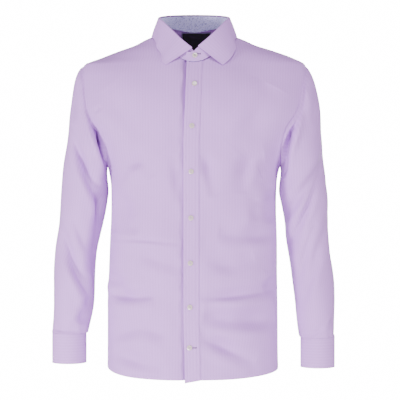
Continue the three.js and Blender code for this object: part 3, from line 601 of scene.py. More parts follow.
def front_places(side, r, c):
    """Angle, height, step and fold shares of one front, for rows r and columns c of its grid.

    Column 2 is the outer edge of the placket and the last column is the armhole and side seam."""
    edges = own_edges(side)

    def own(z, i):
        return side * placket_x(z) + np.interp(i, [0, 1, 2], edges)

    def own_angle(x, z):
        return side * angle_at_x(side * x, z)

    def neck_angle(i):
        return np.degrees(np.arcsin(own(-63, i) / NECK_HALF_WIDTH))

    columns = FRONT_COLUMNS + 2
    arm = np.minimum(1, r / (NECK_ROWS + ARM_ROWS))
    outer_angle, outer_z = armhole(mix(YOKE_ARM_FRONT, 1, arm), "front")
    down = np.clip((r - NECK_ROWS - ARM_ROWS) / SKIRT_ROWS, 0, 1)
    along_neck = mix(YOKE_NECK_ANGLE, neck_angle(2), np.clip(r / NECK_ROWS, 0, 1))
    neck = neck_point(along_neck)
    near_c = np.minimum(c, 2)
    neck_z = neck_point(neck_angle(near_c))[..., 2]
    edge_z = mix(neck_z, UNDERARM_Z - 12, np.clip((r - NECK_ROWS) / ARM_ROWS, 0, 1))
    share = np.maximum(0, (c - 2) / (columns - 2))
    bend = 0.5 * np.clip(r / NECK_ROWS, 0, 1)
    on_neck = r < NECK_ROWS
    inner_z = np.where(on_neck, neck[..., 2], edge_z)
    start_z = mix(inner_z, outer_z, share - bend * share * (1 - share))
    nominal = np.where(c < 2, own_angle(own(start_z, c), start_z), share * 90)
    corner = HEM_CORNER_DROP * np.maximum(0, 1 - c / 2) if side > 0 else 0
    z = mix(start_z, hem_z(nominal) - corner, down)
    first = np.where(on_neck, on_form(neck), own_angle(own(z, near_c), z))
    angle = mix(first, outer_angle, share)
    under = 1 - smooth((side * body_point(side * angle, z)[..., 0] - own(z, 2)) / 45)
    step = -UNDERLAP_STEP * under if side < 0 else np.zeros_like(under)
    step = step - placket_seam(side, side * body_point(side * angle, z)[..., 0] - own(z, 2), z)
    fade = np.where(down > 0, 1, smooth((1 - share) * 4))
    return side * angle, z, step, fade


def back_places(r, c):
    share = 2 * c / BACK_COLUMNS - 1
    arm = np.clip(r / BACK_ARM_ROWS, 0, 1)
    down = np.clip((r - BACK_ARM_ROWS) / SKIRT_ROWS, 0, 1)
    outer_angle, outer_z = armhole(mix(YOKE_ARM_BACK, 1, arm), "back")
    start_z = mix(mix(YOKE_BACK_Z, UNDERARM_Z - 12, arm), outer_z, share * share)
    angle = mix(outer_angle, 360 - outer_angle, (share + 1) / 2)
    z = mix(start_z, hem_z(angle), down)
    fade = np.where(down > 0, 1, smooth((1 - np.abs(share)) * 4)) * smooth(r / 1.0)
    return angle, z, fade


def yoke_places(row_share, col):
    """The yoke grid runs round the neck: col 0 to 1 from the left front seam to the right one."""
    corner_angle, corner_z = armhole(YOKE_ARM_BACK, "back")
    first_angle, first_z = armhole(YOKE_ARM_FRONT, "front")
    ends = [(float(first_angle), float(first_z), YOKE_NECK_ANGLE)]
    for i in range(3):
        angle, z = armhole(YOKE_ARM_BACK * i / 3, "back")
        ends.append((float(angle), float(z), 90 + 7 * i))
    for c in range(BACK_COLUMNS + 1):
        share = 2 * c / BACK_COLUMNS - 1
        angle = mix(float(corner_angle), 360 - float(corner_angle), c / BACK_COLUMNS)
        z = mix(YOKE_BACK_Z, float(corner_z), share * share)
        ends.append((angle, z, mix(110, 250, c / BACK_COLUMNS)))
    for i in range(3, -1, -1):
        ends.append((360 - ends[i][0], ends[i][1], 360 - ends[i][2]))
    ends = np.array(ends)
    at = col * (len(ends) - 1)
    places = np.arange(len(ends))
    outer_angle = np.interp(at, places, ends[:, 0])
    outer_z = np.interp(at, places, ends[:, 1])
    neck_angle = np.interp(at, places, ends[:, 2])
    neck = neck_point(neck_angle)
    start_angle = on_form(neck)
    start_angle = np.where(start_angle < 0, start_angle + 360, start_angle)
    angle = mix(start_angle, outer_angle, row_share)
    z = mix(neck[..., 2], outer_z, row_share)
    return angle, z


def sleeve_fold_depth(folds, angle, z):
    depth = np.zeros(np.broadcast(angle, z).shape)
    for fold in folds:
        across = (fold["to_angle"] - fold["angle"]) / 180 * 150
        down = fold["to_z"] - fold["z"]
        for turn in (-360, 0, 360):
            x = (angle + turn - fold["angle"]) / 180 * 150
            y = z - fold["z"]
            t = np.clip((x * across + y * down) / (across ** 2 + down ** 2), 0, 1)
            away = np.hypot(x - t * across, y - t * down) / fold["width"]
            depth += fold["depth"] * np.exp(-away * away) * (0.1 + 0.9 * np.sin(np.pi * t))
    return depth


def sleeve_crease_depth(name, points, normals):
    """Creases of the front and the back of a sleeve, fading out towards its outline."""
    x, z = points[..., 0], points[..., 2]
    front = smooth((-normals[..., 1] - 0.05) / 0.4)
    back = smooth((normals[..., 1] - 0.05) / 0.4)
    creases = SLEEVE_CREASES[name]
    return front * crease_depth(creases["front"], x, z) + back * crease_depth(creases["back"], x, z)


def sleeve_ring(angle, z, side, shift):
    c = np.cos(np.radians(angle))
    s = np.sin(np.radians(angle))
    x = column(SLEEVE, "z", z, "x") + column(SLEEVE, "z", z, "half_width") * c
    y = column(SLEEVE, "z", z, "y") - column(SLEEVE, "z", z, "half_depth") * s
    return stack(side * x + shift, y, z)


def sleeve_points(name, rows, columns, lift=0.0):
    """Grid of the outside face of a sleeve, with the angle and height of each point."""
    facts = SLEEVE_SIDES[name]
    side, shift = facts["side"], facts["shift"]
    end_z = facts["cuff_top"] + ARMHOLE_GAP
    cap_z = SLEEVE[0]["z"]
    down = np.linspace(0, CAP_ROWS + SLEEVE_ROWS, rows + 1)
    down = np.concatenate([[-1.0, -0.66, -0.33], down])
    r, c = np.meshgrid(down, np.arange(columns), indexing="ij")
    angle = 360 * c / columns
    if side > 0:
        angle = (360 - angle) % 360
    front = angle <= 180
    place = np.where(front, angle, 360 - angle) / 180
    upper = np.cos(np.radians(angle)) * 0.5 + 0.5
    front_angle, front_z = armhole(place, "front")
    back_angle, back_z = armhole(place, "back")
    seam_angle = np.where(front, front_angle, back_angle)
    seam_z = np.where(front, front_z, back_z)
    seam, body_normals = worn(side * seam_angle, seam_z, 0.0, 0.0, 0.0)
    leave = unit(stack(
        side * (0.3 + 0.7 * np.sqrt(upper)),
        -0.3 * np.sin(np.radians(angle)),
        -(1.1 - 0.25 * upper),
    ))
    across = unit(leave - body_normals * (leave * body_normals).sum(-1, keepdims=True))
    tuck = np.clip(-r, 0, 1)[..., None]
    tucked = seam - across * 9 * tuck - body_normals * 1.9 * smooth(tuck * 3)
    seam = seam + leave * ARMHOLE_GAP
    seam[..., 0] += side * 0.25
    t = np.clip(r / CAP_ROWS, 0, 1)[..., None]
    spring = mix(0.9, CAP_SPRING, upper)[..., None]
    end = sleeve_ring(angle, np.full(angle.shape, float(cap_z)), side, shift)
    length = np.linalg.norm(end - seam, axis=-1, keepdims=True)
    arrive = unit(np.array([side * 0.1, 0.0, -1.0]))
    cap = seam * (1 - t * t * (3 - 2 * t)) + end * t * t * (3 - 2 * t)
    cap = cap + leave * t * (1 - t) ** 2 * length * spring - arrive * t * t * (1 - t) * length
    low_z = mix(cap_z, end_z, np.clip((r - CAP_ROWS) / SLEEVE_ROWS, 0, 1))
    low = sleeve_ring(angle, low_z, side, shift)
    points = np.where((r > CAP_ROWS)[..., None], low, cap)
    points = np.where((r < 0)[..., None], tucked, points)
    z = points[..., 2].copy()
    normals = grid_normals(points, True)
    calm = smooth(r / 4) * smooth((z - end_z) / 25)
    inwards = calm * sleeve_fold_depth(SLEEVE_FOLDS[name], angle, z)
    fine = smooth(r / 0.7) * smooth((z - end_z) / 8)
    inwards = inwards + fine * sleeve_crease_depth(name, points, normals)
    inwards = inwards + fine * ripple(angle / 180 * 150 + 40 * side, z) * 1.1
    inwards = inwards + cap_puckers(angle, r) + cuff_gathers(angle, z - end_z)
    points = points - normals * inwards[..., None]
    normals = grid_normals(points, True)
    return points + normals * lift, normals, angle, z


def cap_puckers(angle, r):
    """Small puckers where the sleeve cap is eased into the armhole."""
    wave = 0.5 * np.sin(angle / 3.1 + 2.3 * np.sin(angle / 29)) + 0.5 * np.sin(angle / 5.3 + 1)
    fade = smooth(r * 2) * np.exp(-(r / 1.5) ** 2)
    return 0.75 * wave * fade


def cuff_gathers(angle, above):
    """Two small pleats and soft gathers just above the cuff."""
    wave = np.sin(angle / 4.1 + 1.9 * np.sin(angle / 37)) + 0.6 * np.sin(angle / 7.7 + 2)
    fade = np.exp(-np.clip(above, 0, None) / 24) * smooth(above / 3)
    pleats = 0.0
    for middle in (205, 224):
        pleats = pleats + 2.2 * np.exp(-((angle - middle) / 5) ** 2)
    return fade * (0.55 * wave + pleats)


def cuff_points(name, rows, columns, step=0.0, lift=0.0):
    facts = SLEEVE_SIDES[name]
    side, shift = facts["side"], facts["shift"]
    wrist = SLEEVE[-1]
    r, c = np.meshgrid(np.linspace(0, 1, rows + 1), np.linspace(0, 1, columns + 1), indexing="ij")
    share = 1 - c if side > 0 else c
    angle = mix(CUFF_START, CUFF_START + 360 + CUFF_OVERLAP_ANGLE, share)
    z = mix(facts["cuff_top"] - step, facts["cuff_bottom"] + step, r)
    return cuff_face(side, shift, wrist, angle, z, lift)


def cuff_face(side, shift, wrist, angle, z, lift):
    out = CUFF_OVERLAP_STEP * smooth((angle - CUFF_START - 300) / 55) + lift
    x = side * (wrist["x"] + (CUFF_HALF_WIDTH + out) * np.cos(np.radians(angle))) + shift
    y = wrist["y"] - (CUFF_HALF_DEPTH + out) * np.sin(np.radians(angle))
    return stack(x, y, z)


def collar_top(angle):
    c = np.cos(np.radians(angle))
    s = np.abs(np.sin(np.radians(angle)))
    t = COLLAR_TOP
    front_z = mix(t["front_z"], t["side_z"], s ** 1.15)
    back_z = mix(t["side_z"], t["back_z"], np.abs(c) ** 0.8)
    x = t["half_width"] * np.sin(np.radians(angle))
    return stack(x, -np.where(c > 0, t["front"], t["back"]) * c, np.where(c > 0, front_z, back_z))


def from_neck(angle):
    c = np.cos(np.radians(angle))
    depth = np.where(c > 0, NECK_FRONT, NECK_BACK)
    x = np.sin(np.radians(angle)) / NECK_HALF_WIDTH
    return unit(stack(x, -c / depth, np.zeros_like(c)))


def stand_step(angle):
    return STAND_STEP * (1 - smooth((angle - 14) / 60))


def stand_point(angle, share):
    beyond = np.maximum(smooth((5 - angle) / 14), smooth((angle - 355) / 14))
    base = neck_point(angle)
    base[..., 2] += STAND_RISE
    lean = np.asarray(share * (1 - STAND_TAPER * beyond))[..., None]
    point = mix(base, collar_top(angle), lean)
    return point + from_neck(angle) * np.asarray(stand_step(angle))[..., None]


def stand_points(rows, columns, inset):
    overlap = math.degrees(math.asin(STAND_OVERLAP / NECK_HALF_WIDTH))
    share, along = np.meshgrid(np.linspace(1, 0, rows + 1), np.linspace(0, 1, columns + 1), indexing="ij")
    angle = mix(-overlap, 360 + overlap, along)
    points = stand_point(angle, share)
    normals = grid_normals(points)
    return points - normals * inset, normals


def leaf_edge(angle):
    half = np.where(angle > 180, 360 - angle, angle)
    z = column(LEAF_EDGE, "angle", half, "z")
    form = column(LEAF_EDGE, "angle", half, "form")
    lift = column(LEAF_EDGE, "angle", half, "lift")
    points, _ = worn(np.where(angle > 180, -form, form), z, lift, 0.0, 0.0)
    return points


def leaf_points(down, along, lift=0.0):
    """Leaf of the collar for shares down from the inside of its fold and along it."""
    around = mix(LEAF_START, LEAF_END, along)
    out = from_neck(around)
    over = STAND_STEP * smooth((around - 325) / 20)
    top = collar_top(around) + out * (stand_step(around) + over)[..., None]
    fold_end = LEAF_FOLD[-1]["share"]
    shares = [row["share"] for row in LEAF_FOLD]
    at = np.minimum(down, fold_end)
    point = top + out * np.interp(at, shares, [row["out"] for row in LEAF_FOLD])[..., None]
    point[..., 2] += np.interp(at, shares, [row["up"] for row in LEAF_FOLD])
    fall = np.clip((down - fold_end) / (1 - fold_end), 0, 1)[..., None]
    point = mix(point, leaf_edge(360 * along), fall)
    point = point + out * LEAF_BULGE * np.sin(np.pi * fall)
    normals = grid_normals(point)
    return point + normals * lift, normals


LABEL_CLOTH = 1.0


def grid(rows, columns, first_row=0.0, last_row=1.0, first_column=0.0, last_column=1.0):
    """Row and column values of a grid, as two arrays."""
    down = np.linspace(first_row, last_row, rows + 1)
    across = np.linspace(first_column, last_column, columns + 1)
    return np.meshgrid(down, across, indexing="ij")


def form_arc(angle, z):
    """Length round the body form from the centre front to an angle, at one height."""
    steps = np.linspace(0, 1, 33)
    shape = angle.shape
    turned = angle.reshape(-1, 1) * steps
    heights = np.repeat(z.reshape(-1, 1), len(steps), axis=1)
    points = body_point(turned, heights)[..., :2]
    length = np.linalg.norm(np.diff(points, axis=1), axis=-1).sum(axis=1)
    return (np.sign(angle.reshape(-1)) * length).reshape(shape)


def add_mesh(name, vertices, faces, uv=None):
    mesh = bpy.data.meshes.new(name)
    mesh.from_pydata([tuple(v) for v in vertices * MM], [], faces)
    mesh.update()
    if uv is not None:
        layer = mesh.uv_layers.new(name="grain")
        layer.data.foreach_set("uv", (uv * MM).astype(np.float32).ravel())
    piece = bpy.data.objects.new(name, mesh)
    bpy.context.collection.objects.link(piece)
    return piece


def cloth_grid(name, points, uv, closed=False, keep=None, flip=False):
    """Sheet of four-sided cells through a grid of points, with its grain in a UV map."""
    rows = points.shape[0] - 1
    columns = points.shape[1] if closed else points.shape[1] - 1
    width = points.shape[1]
    r, c = np.meshgrid(np.arange(rows), np.arange(columns), indexing="ij")
    if keep is not None:
        kept = keep(r, c)
        r, c = r[kept], c[kept]
    r, c = r.ravel(), c.ravel()
    corners = [(r, c), (r + 1, c), (r + 1, c + 1), (r, c + 1)]
    if flip:
        corners = [corners[0], corners[3], corners[2], corners[1]]
    faces = np.stack([a * width + b % width for a, b in corners], axis=1)
    corner_uv = np.stack([uv[a, b] for a, b in corners], axis=1)
    used, faces = np.unique(faces, return_inverse=True)
    vertices = points.reshape(-1, 3)[used]
    return add_mesh(name, vertices, faces.reshape(-1, 4).tolist(), corner_uv)


def select_only(piece):
    for other in bpy.context.selected_objects:
        other.select_set(False)
    piece.select_set(True)
    bpy.context.view_layer.objects.active = piece


def finish_cloth(piece, thickness, material, node):
    """Gives a sheet its thickness, finish and place in the record."""
    solid = piece.modifiers.new("thickness", "SOLIDIFY")
    solid.thickness = thickness
    solid.offset = -1
    solid.use_even_offset = False
    select_only(piece)
    bpy.ops.object.modifier_apply(modifier=solid.name)
    bpy.ops.object.shade_smooth_by_angle(angle=math.radians(55))
    piece.data.materials.append(material)
    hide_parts(node)
    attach(piece, "root")
    return piece


def node_tree(name):
    material = bpy.data.materials.new(name)
    material.use_nodes = True
    tree = material.node_tree
    return material, tree, tree.nodes["Principled BSDF"]


def link(tree, start, end):
    tree.links.new(start, end)


def set_inputs(node, values):
    for name, value in values.items():
        node.inputs[name].default_value = value


def texture(tree, kind, place, **values):
    """A texture node at a place, with its plain input values."""
    node = tree.nodes.new(f"ShaderNodeTex{kind}")
    set_inputs(node, values)
    link(tree, place, node.inputs["Vector"])
    return node


def value_node(tree, operation, first, second=None, third=None, clamp=False):
    """A math node whose inputs are sockets or numbers."""
    node = tree.nodes.new("ShaderNodeMath")
    node.operation = operation
    node.use_clamp = clamp
    for socket, given in zip(node.inputs, (first, second, third)):
        if given is None:
            continue
        if isinstance(given, (int, float)):
            socket.default_value = given
        else:
            link(tree, given, socket)
    return node.outputs[0]


def mix_colours(tree, share, first, second):
    node = tree.nodes.new("ShaderNodeMix")
    node.data_type = "RGBA"
    link(tree, share, node.inputs[0])
    for socket, given in ((node.inputs[6], first), (node.inputs[7], second)):
        if isinstance(given, tuple):
            socket.default_value = (*given, 1)
        else:
            link(tree, given, socket)
    return node.outputs[2]


def grain_uv(tree):
    """Places across and along the grain, in millimetres."""
    source = tree.nodes.new("ShaderNodeUVMap")
    source.uv_map = "grain"
    split = tree.nodes.new("ShaderNodeSeparateXYZ")
    link(tree, source.outputs[0], split.inputs[0])
    across = value_node(tree, "MULTIPLY", split.outputs[0], 1000.0)
    along = value_node(tree, "MULTIPLY", split.outputs[1], 1000.0)
    return across, along


def wave(tree, place, spacing):
    """A wave from 0 to 1 along one direction."""
    turned = value_node(tree, "MULTIPLY", place, 2 * math.pi / spacing)
    sine = value_node(tree, "SINE", turned)
    return value_node(tree, "MULTIPLY_ADD", sine, 0.5, 0.5)


def shirting_material(look):
    """Fine cotton: pale threads along the grain, violet ones between them, a soft sheen."""
    material, tree, shader = node_tree("hairline_cotton")
    across, along = grain_uv(tree)
    fine = wave(tree, across, look.hairline_spacing * 1000)
    weft = wave(tree, along, look.hairline_spacing * 1000 * 0.8)
    group = wave(tree, across, look.group_spacing * 1000)
    place = tree.nodes.new("ShaderNodeCombineXYZ")
    link(tree, across, place.inputs[0])
    slow = value_node(tree, "MULTIPLY", along, 0.02)
    link(tree, slow, place.inputs[1])
    slub = texture(tree, "Noise", place.outputs[0], Scale=0.55, Detail=2)
    dark = value_node(tree, "MULTIPLY", fine, 0.24)
    dark = value_node(tree, "MULTIPLY_ADD", group, 0.22, dark)
    dark = value_node(tree, "MULTIPLY_ADD", slub.outputs[0], 0.25, dark)
    dark = value_node(tree, "MULTIPLY_ADD", weft, 0.10, dark, True)
    colour = mix_colours(tree, dark, tuple(look.thread_pale), tuple(look.thread_violet))
    link(tree, colour, shader.inputs["Base Color"])
    set_inputs(shader, {
        "Roughness": 0.72,
        "Sheen Weight": 0.08,
        "Sheen Roughness": 0.4,
        "Sheen Tint": (0.85, 0.65, 1.0, 1),
        "Specular IOR Level": 0.25,
    })
    height = value_node(tree, "MULTIPLY", fine, 0.6)
    height = value_node(tree, "MULTIPLY_ADD", weft, 0.4, height)
    bump = tree.nodes.new("ShaderNodeBump")
    set_inputs(bump, {
        "Strength": 0.25,
        "Distance": 0.0001,
    })
    link(tree, height, bump.inputs["Height"])
    link(tree, bump.outputs[0], shader.inputs["Normal"])
    return material


def print_material(look):
    """Pale blue cotton of the inner collar with a fine all-over fleck."""
    material, tree, shader = node_tree("inner_collar_print")
    across, along = grain_uv(tree)
    place = tree.nodes.new("ShaderNodeCombineXYZ")
    link(tree, across, place.inputs[0])
    link(tree, along, place.inputs[1])
    dots = texture(tree, "Voronoi", place.outputs[0], Scale=0.34)
    spot = value_node(tree, "LESS_THAN", dots.outputs["Distance"], 0.30)
    specks = texture(tree, "Noise", place.outputs[0], Scale=0.62, Detail=3)
    speck = value_node(tree, "GREATER_THAN", specks.outputs[0], 0.56)
    base = mix_colours(tree, speck, tuple(look.print_ground), tuple(look.print_pale))
    colour = mix_colours(tree, spot, base, tuple(look.print_dark))
    link(tree, colour, shader.inputs["Base Color"])
    set_inputs(shader, {
        "Roughness": 0.8,
        "Specular IOR Level": 0.2,
    })
    return material


def label_material(look):
    """Plain black woven label with a thin woven border line."""
    material, tree, shader = node_tree("label_weave")
    across, along = grain_uv(tree)
    lines = []
    middle_x = (LABEL["left"] + LABEL["right"]) / 2
    middle_z = (LABEL["top_z"] + LABEL["bottom_z"]) / 2
    half_x = (LABEL["right"] - LABEL["left"]) / 2
    half_z = (LABEL["top_z"] - LABEL["bottom_z"]) / 2
    for place, middle, half in ((across, middle_x, half_x), (along, middle_z, half_z)):
        off = value_node(tree, "ABSOLUTE", value_node(tree, "SUBTRACT", place, middle))
        lines.append(value_node(tree, "SUBTRACT", half, off))
    nearest = value_node(tree, "MINIMUM", lines[0], lines[1])
    border = value_node(tree, "COMPARE", nearest, 1.2, 0.9)
    ribs = wave(tree, along, 0.5)
    black = mix_colours(tree, ribs, (0.004, 0.004, 0.006), (0.012, 0.011, 0.015))
    colour = mix_colours(tree, border, black, tuple(look.label_line))
    link(tree, colour, shader.inputs["Base Color"])
    set_inputs(shader, {
        "Roughness": 0.55,
        "Sheen Weight": 0.15,
    })
    return material


def button_material(look):
    """Mother-of-pearl white buttons with faint clouding."""
    material, tree, shader = node_tree("pearl_button")
    place = tree.nodes.new("ShaderNodeTexCoord")
    clouds = texture(tree, "Noise", place.outputs["Object"], Scale=260, Detail=3)
    colour = mix_colours(tree, clouds.outputs[0], tuple(look.button_pale), tuple(look.button_deep))
    link(tree, colour, shader.inputs["Base Color"])
    set_inputs(shader, {
        "Roughness": 0.22,
        "Coat Weight": 0.5,
        "Coat Roughness": 0.12,
    })
    return material


def thread_material(name, colour):
    material, _, shader = node_tree(name)
    set_inputs(shader, {
        "Base Color": (*colour, 1),
        "Roughness": 0.6,
        "Sheen Weight": 0.2,
    })
    return material


def material_once(name, make, *given):
    return bpy.data.materials.get(name) or make(*given)


def shirting(look):
    return material_once("hairline_cotton", shirting_material, look)


def tonal_thread(look):
    return material_once("tonal_thread", thread_material, "tonal_thread", look.thread_tonal)


def navy_thread(look):
    return material_once("navy_thread", thread_material, "navy_thread", look.thread_navy)


def front_sheet(side, look, cloth):
    density = cloth.cells_per_row
    rows = NECK_ROWS + ARM_ROWS + SKIRT_ROWS
    columns = FRONT_COLUMNS + 2
    r, c = grid(rows * density, columns * density, 0, rows, 0, columns)
    angle, z, step, fade = front_places(side, r, c)
    points, _ = worn(angle, z, step - seam_sink(columns - c), fade)
    uv = np.stack([form_arc(angle, z), z], axis=-1)

    def keep(row, column):
        return (row >= NECK_ROWS * density) | (column >= 2 * density)

    name = "left" if side > 0 else "right"
    piece = cloth_grid(f"worn_front_{name}", points, uv, keep=keep, flip=side < 0)
    return finish_cloth(piece, cloth.thickness, shirting(look), f"front_{name}")


def seam_sink(columns_in):
    """A seam pulls the cloth in a little."""
    return 0.5 * np.exp(-(columns_in / 0.28) ** 2)


def placket_relief(u, z):
    """Rows of stitching press grooves into the placket and pucker its edges."""
    edge = np.abs(u) - PLACKET_STITCH
    groove = 0.42 * np.exp(-(edge / 1.1) ** 2)
    wave = np.sin(z / 2.9 + 2.4 * np.sin(z / 31)) * 0.6 + np.sin(z / 5.3 + 0.9 * u / 10)
    pucker = 0.13 * wave * smooth((edge + 4) / 4)
    roll = 0.8 * np.exp(-((PLACKET_HALF - u) / 1.0) ** 2)
    scallop = np.sin(z / 7.5 + 2.1 * np.sin(z / 41))
    lift = 0.5 * scallop * np.exp(-((u + PLACKET_HALF) / 4.5) ** 2)
    return -groove + pucker - roll + lift


PLACKET_STITCH = 10.8
PLACKET_LIFT = SEAM_GAP + PLACKET_CLOTH


def placket_points(r, u, lift=0.0):
    """Outside face of the placket at rows r and distances u from its middle."""
    c = (np.asarray(u) + PLACKET_HALF) / PLACKET_HALF
    angle, z, _, fade = front_places(1, r, c)
    rise = PLACKET_LIFT + placket_relief(u, z) + lift
    return worn(angle, z, rise, fade)


def placket_sheet(look, cloth):
    rows = ARM_ROWS + SKIRT_ROWS
    r, u = grid(rows * 10, 42, NECK_ROWS, NECK_ROWS + rows, -PLACKET_HALF, PLACKET_HALF)
    points, _ = placket_points(r, u)
    uv = np.stack([u, points[..., 2]], axis=-1)
    piece = cloth_grid("worn_front_placket", points, uv)
    return finish_cloth(piece, cloth.thickness * 1.2, shirting(look), "front_placket")


def back_sheet(look, cloth):
    density = cloth.cells_per_row
    rows = BACK_ARM_ROWS + SKIRT_ROWS
    r, c = grid(rows * density, BACK_COLUMNS * density, 0, rows, 0, BACK_COLUMNS)
    angle, z, fade = back_places(r, c)
    sink = seam_sink(np.minimum(c, BACK_COLUMNS - c) * 1.3)
    points, _ = worn(angle, z, -sink * smooth(r), fade, smooth(r / 0.6))
    uv = np.stack([form_arc(angle - 180, z), z], axis=-1)
    piece = cloth_grid("worn_back", points, uv)
    return finish_cloth(piece, cloth.thickness, shirting(look), "back")


def yoke_points(row_share, col, lift=0.0):
    angle, z = yoke_places(row_share, col)
    return worn(angle, z, lift, 0.0, 0.0)


def yoke_sheet(look, cloth):
    row_share, col = grid(48, 168)
    points, _ = yoke_points(row_share, col)
    uv = np.stack([row_share * 110, points[..., 0]], axis=-1)
    piece = cloth_grid("worn_yoke", points, uv)
    return finish_cloth(piece, cloth.thickness, shirting(look), "yoke")


def sleeve_sheet(name, look, cloth):
    columns = cloth.sleeve_columns
    points, _, _, z = sleeve_points(name, (CAP_ROWS + SLEEVE_ROWS) * 9, columns)
    turned = np.broadcast_to(np.arange(columns + 1) / columns * 355, (points.shape[0], columns + 1))
    heights = np.concatenate([z, z[:, :1]], axis=1)
    uv = np.stack([turned, heights], axis=-1)
    piece = cloth_grid(f"worn_sleeve_{name}", points, uv, closed=True)
    return finish_cloth(
        piece, cloth.thickness, shirting(look), f"sleeve_{name}")


def sleeve_placket_sheet(name, look, cloth):
    columns = 360
    rows = (CAP_ROWS + SLEEVE_ROWS) * 6
    points, _, angle, _ = sleeve_points(name, rows, columns, SEAM_GAP + LABEL_CLOTH)
    chosen = np.where((angle[0] > 243) & (angle[0] < 274))[0]
    part = points[-43:, chosen]
    uv = np.stack([part[..., 0], part[..., 2]], axis=-1)
    piece = cloth_grid(f"worn_sleeve_placket_{name}", part, uv)
    return finish_cloth(
        piece, cloth.thickness, shirting(look), f"sleeve_placket_{name}")


def cuff_relief(down, height):
    edge = np.minimum(down, 1 - down) * height
    return -0.35 * np.exp(-((edge - CUFF_STITCH) / 1.1) ** 2)


CUFF_STITCH = 5.0


def cuff_sheet(name, look, cloth):
    facts = SLEEVE_SIDES[name]
    down, along = grid(36, 200)
    relief = cuff_relief(down, facts["cuff_top"] - facts["cuff_bottom"])
    relief = relief + 0.12 * np.sin(along * 110 + 3 * np.sin(along * 17)) * np.exp(-down * 9)
    points = cuff_points(name, 36, 200, 0.0, relief)
    uv = np.stack([points[..., 2], along * 268], axis=-1)
    piece = cloth_grid(f"worn_cuff_{name}", points, uv)
    return finish_cloth(
        piece, cloth.thickness * 2.4, shirting(look), f"cuff_{name}")


def stand_sheet(look, cloth):
    points, _ = stand_points(20, 240, 0.0)
    down, along = grid(20, 240)
    uv = np.stack([down * 50, along * 470], axis=-1)
    piece = cloth_grid("worn_collar_stand", points, uv)
    return finish_cloth(piece, cloth.thickness * 1.3, shirting(look), "collar_stand")


def facing_sheet(look, cloth):
    points, _ = stand_points(20, 240, CLOTH + SEAM_GAP)
    down, along = grid(20, 240)
    uv = np.stack([along * 470, down * 50], axis=-1)
    piece = cloth_grid("worn_collar_facing", points, uv)
    material = material_once("inner_collar_print", print_material, look)
    return finish_cloth(
        piece, cloth.thickness, material, "collar_stand_facing")


LEAF_STITCH = 5.5


def leaf_relief(down, along):
    """Groove of the edge stitching, and the leaf's slight unevenness."""
    edge = (1 - down) * 66
    ends = np.minimum(along, 1 - along) * 560
    groove = np.exp(-((np.minimum(edge, ends) - LEAF_STITCH) / 1.2) ** 2)
    soft = 0.3 * np.sin(along * 23 + 2 * np.sin(along * 9)) * smooth(down * 2)
    return -0.38 * groove + soft


def leaf_sheet(look, cloth):
    down, along = grid(54, 320)
    points, _ = leaf_points(down, along, leaf_relief(down, along)[..., None])
    uv = np.stack([along * 560, down * 75], axis=-1)
    piece = cloth_grid("worn_collar_leaf", points, uv)
    return finish_cloth(piece, cloth.thickness * 2, shirting(look), "collar_leaf")


def label_sheet(look, cloth):
    r, c = grid(24, 40)
    z = mix(LABEL["top_z"], LABEL["bottom_z"], r)
    x = mix(LABEL["right"], LABEL["left"], c)
    wave = 0.35 * np.sin(x / 9 + 1.0) * smooth(r)
    points, _ = worn(180 - angle_at_x(x, z), z, -CLOTH - LABEL_GAP + wave - 0.3, 0.0, 0.0)
    uv = np.stack([x, z], axis=-1)
    piece = cloth_grid("worn_neck_label", points, uv)
    material = material_once("label_weave", label_material, look)
    return finish_cloth(piece, cloth.thickness * 0.8, material, "neck_label")


def stitch_template():
    """One stitch lying along X, as places and faces, from a small ball."""
    select_nothing()
    bpy.ops.mesh.primitive_ico_sphere_add(subdivisions=1, radius=1)
    ball = bpy.context.object
    vertices = np.array([tuple(v.co) for v in ball.data.vertices])
    faces = np.array([tuple(p.vertices) for p in ball.data.polygons])
    mesh = ball.data
    bpy.data.objects.remove(ball)
    bpy.data.meshes.remove(mesh)
    return vertices, faces


def select_nothing():
    for other in list(bpy.context.selected_objects):
        other.select_set(False)


def thread_piece(name, runs, material):
    """Joined stitches. Each run is (middles, directions, normals, half sizes)."""
    vertices, faces = stitch_template()
    all_vertices, all_faces = [], []
    count = 0
    for middles, directions, normals, sizes in runs:
        side = unit(np.cross(normals, directions))
        up = unit(np.cross(directions, side))
        frame_axes = np.stack([directions, side, up], axis=1)
        placed = np.einsum("vi,nij->nvj", vertices * np.array(sizes), frame_axes)
        placed = placed + middles[:, None, :]
        shift = count + len(vertices) * np.arange(len(middles))
        all_vertices.append(placed.reshape(-1, 3))
        all_faces.append((faces[None] + shift[:, None, None]).reshape(-1, 3))
        count += len(vertices) * len(middles)
    piece = add_mesh(name, np.concatenate(all_vertices), np.concatenate(all_faces).tolist())
    piece.data.polygons.foreach_set("use_smooth", [True] * len(piece.data.polygons))
    piece.data.materials.append(material)
    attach(piece, "root")
    return piece


def stitches_along(line, normals, pitch, sizes):
    """Even stitches along a line of points."""
    steps = np.linalg.norm(np.diff(line, axis=0), axis=1)
    length = np.concatenate([[0], np.cumsum(steps)])
    at = np.arange(pitch / 2, length[-1], pitch)
    middles = np.stack([np.interp(at, length, line[:, i]) for i in range(3)], axis=1)
    ups = np.stack([np.interp(at, length, normals[:, i]) for i in range(3)], axis=1)
    ahead = np.stack([np.interp(at + 0.4, length, line[:, i]) for i in range(3)], axis=1)
    behind = np.stack([np.interp(at - 0.4, length, line[:, i]) for i in range(3)], axis=1)
    return middles, unit(ahead - behind), unit(ups), sizes


def front_line(side, r, c, lift):
    angle, z, step, fade = front_places(side, r, c)
    sink = seam_sink(FRONT_COLUMNS + 2 - c)
    return worn(angle, z, step - sink + lift, fade)


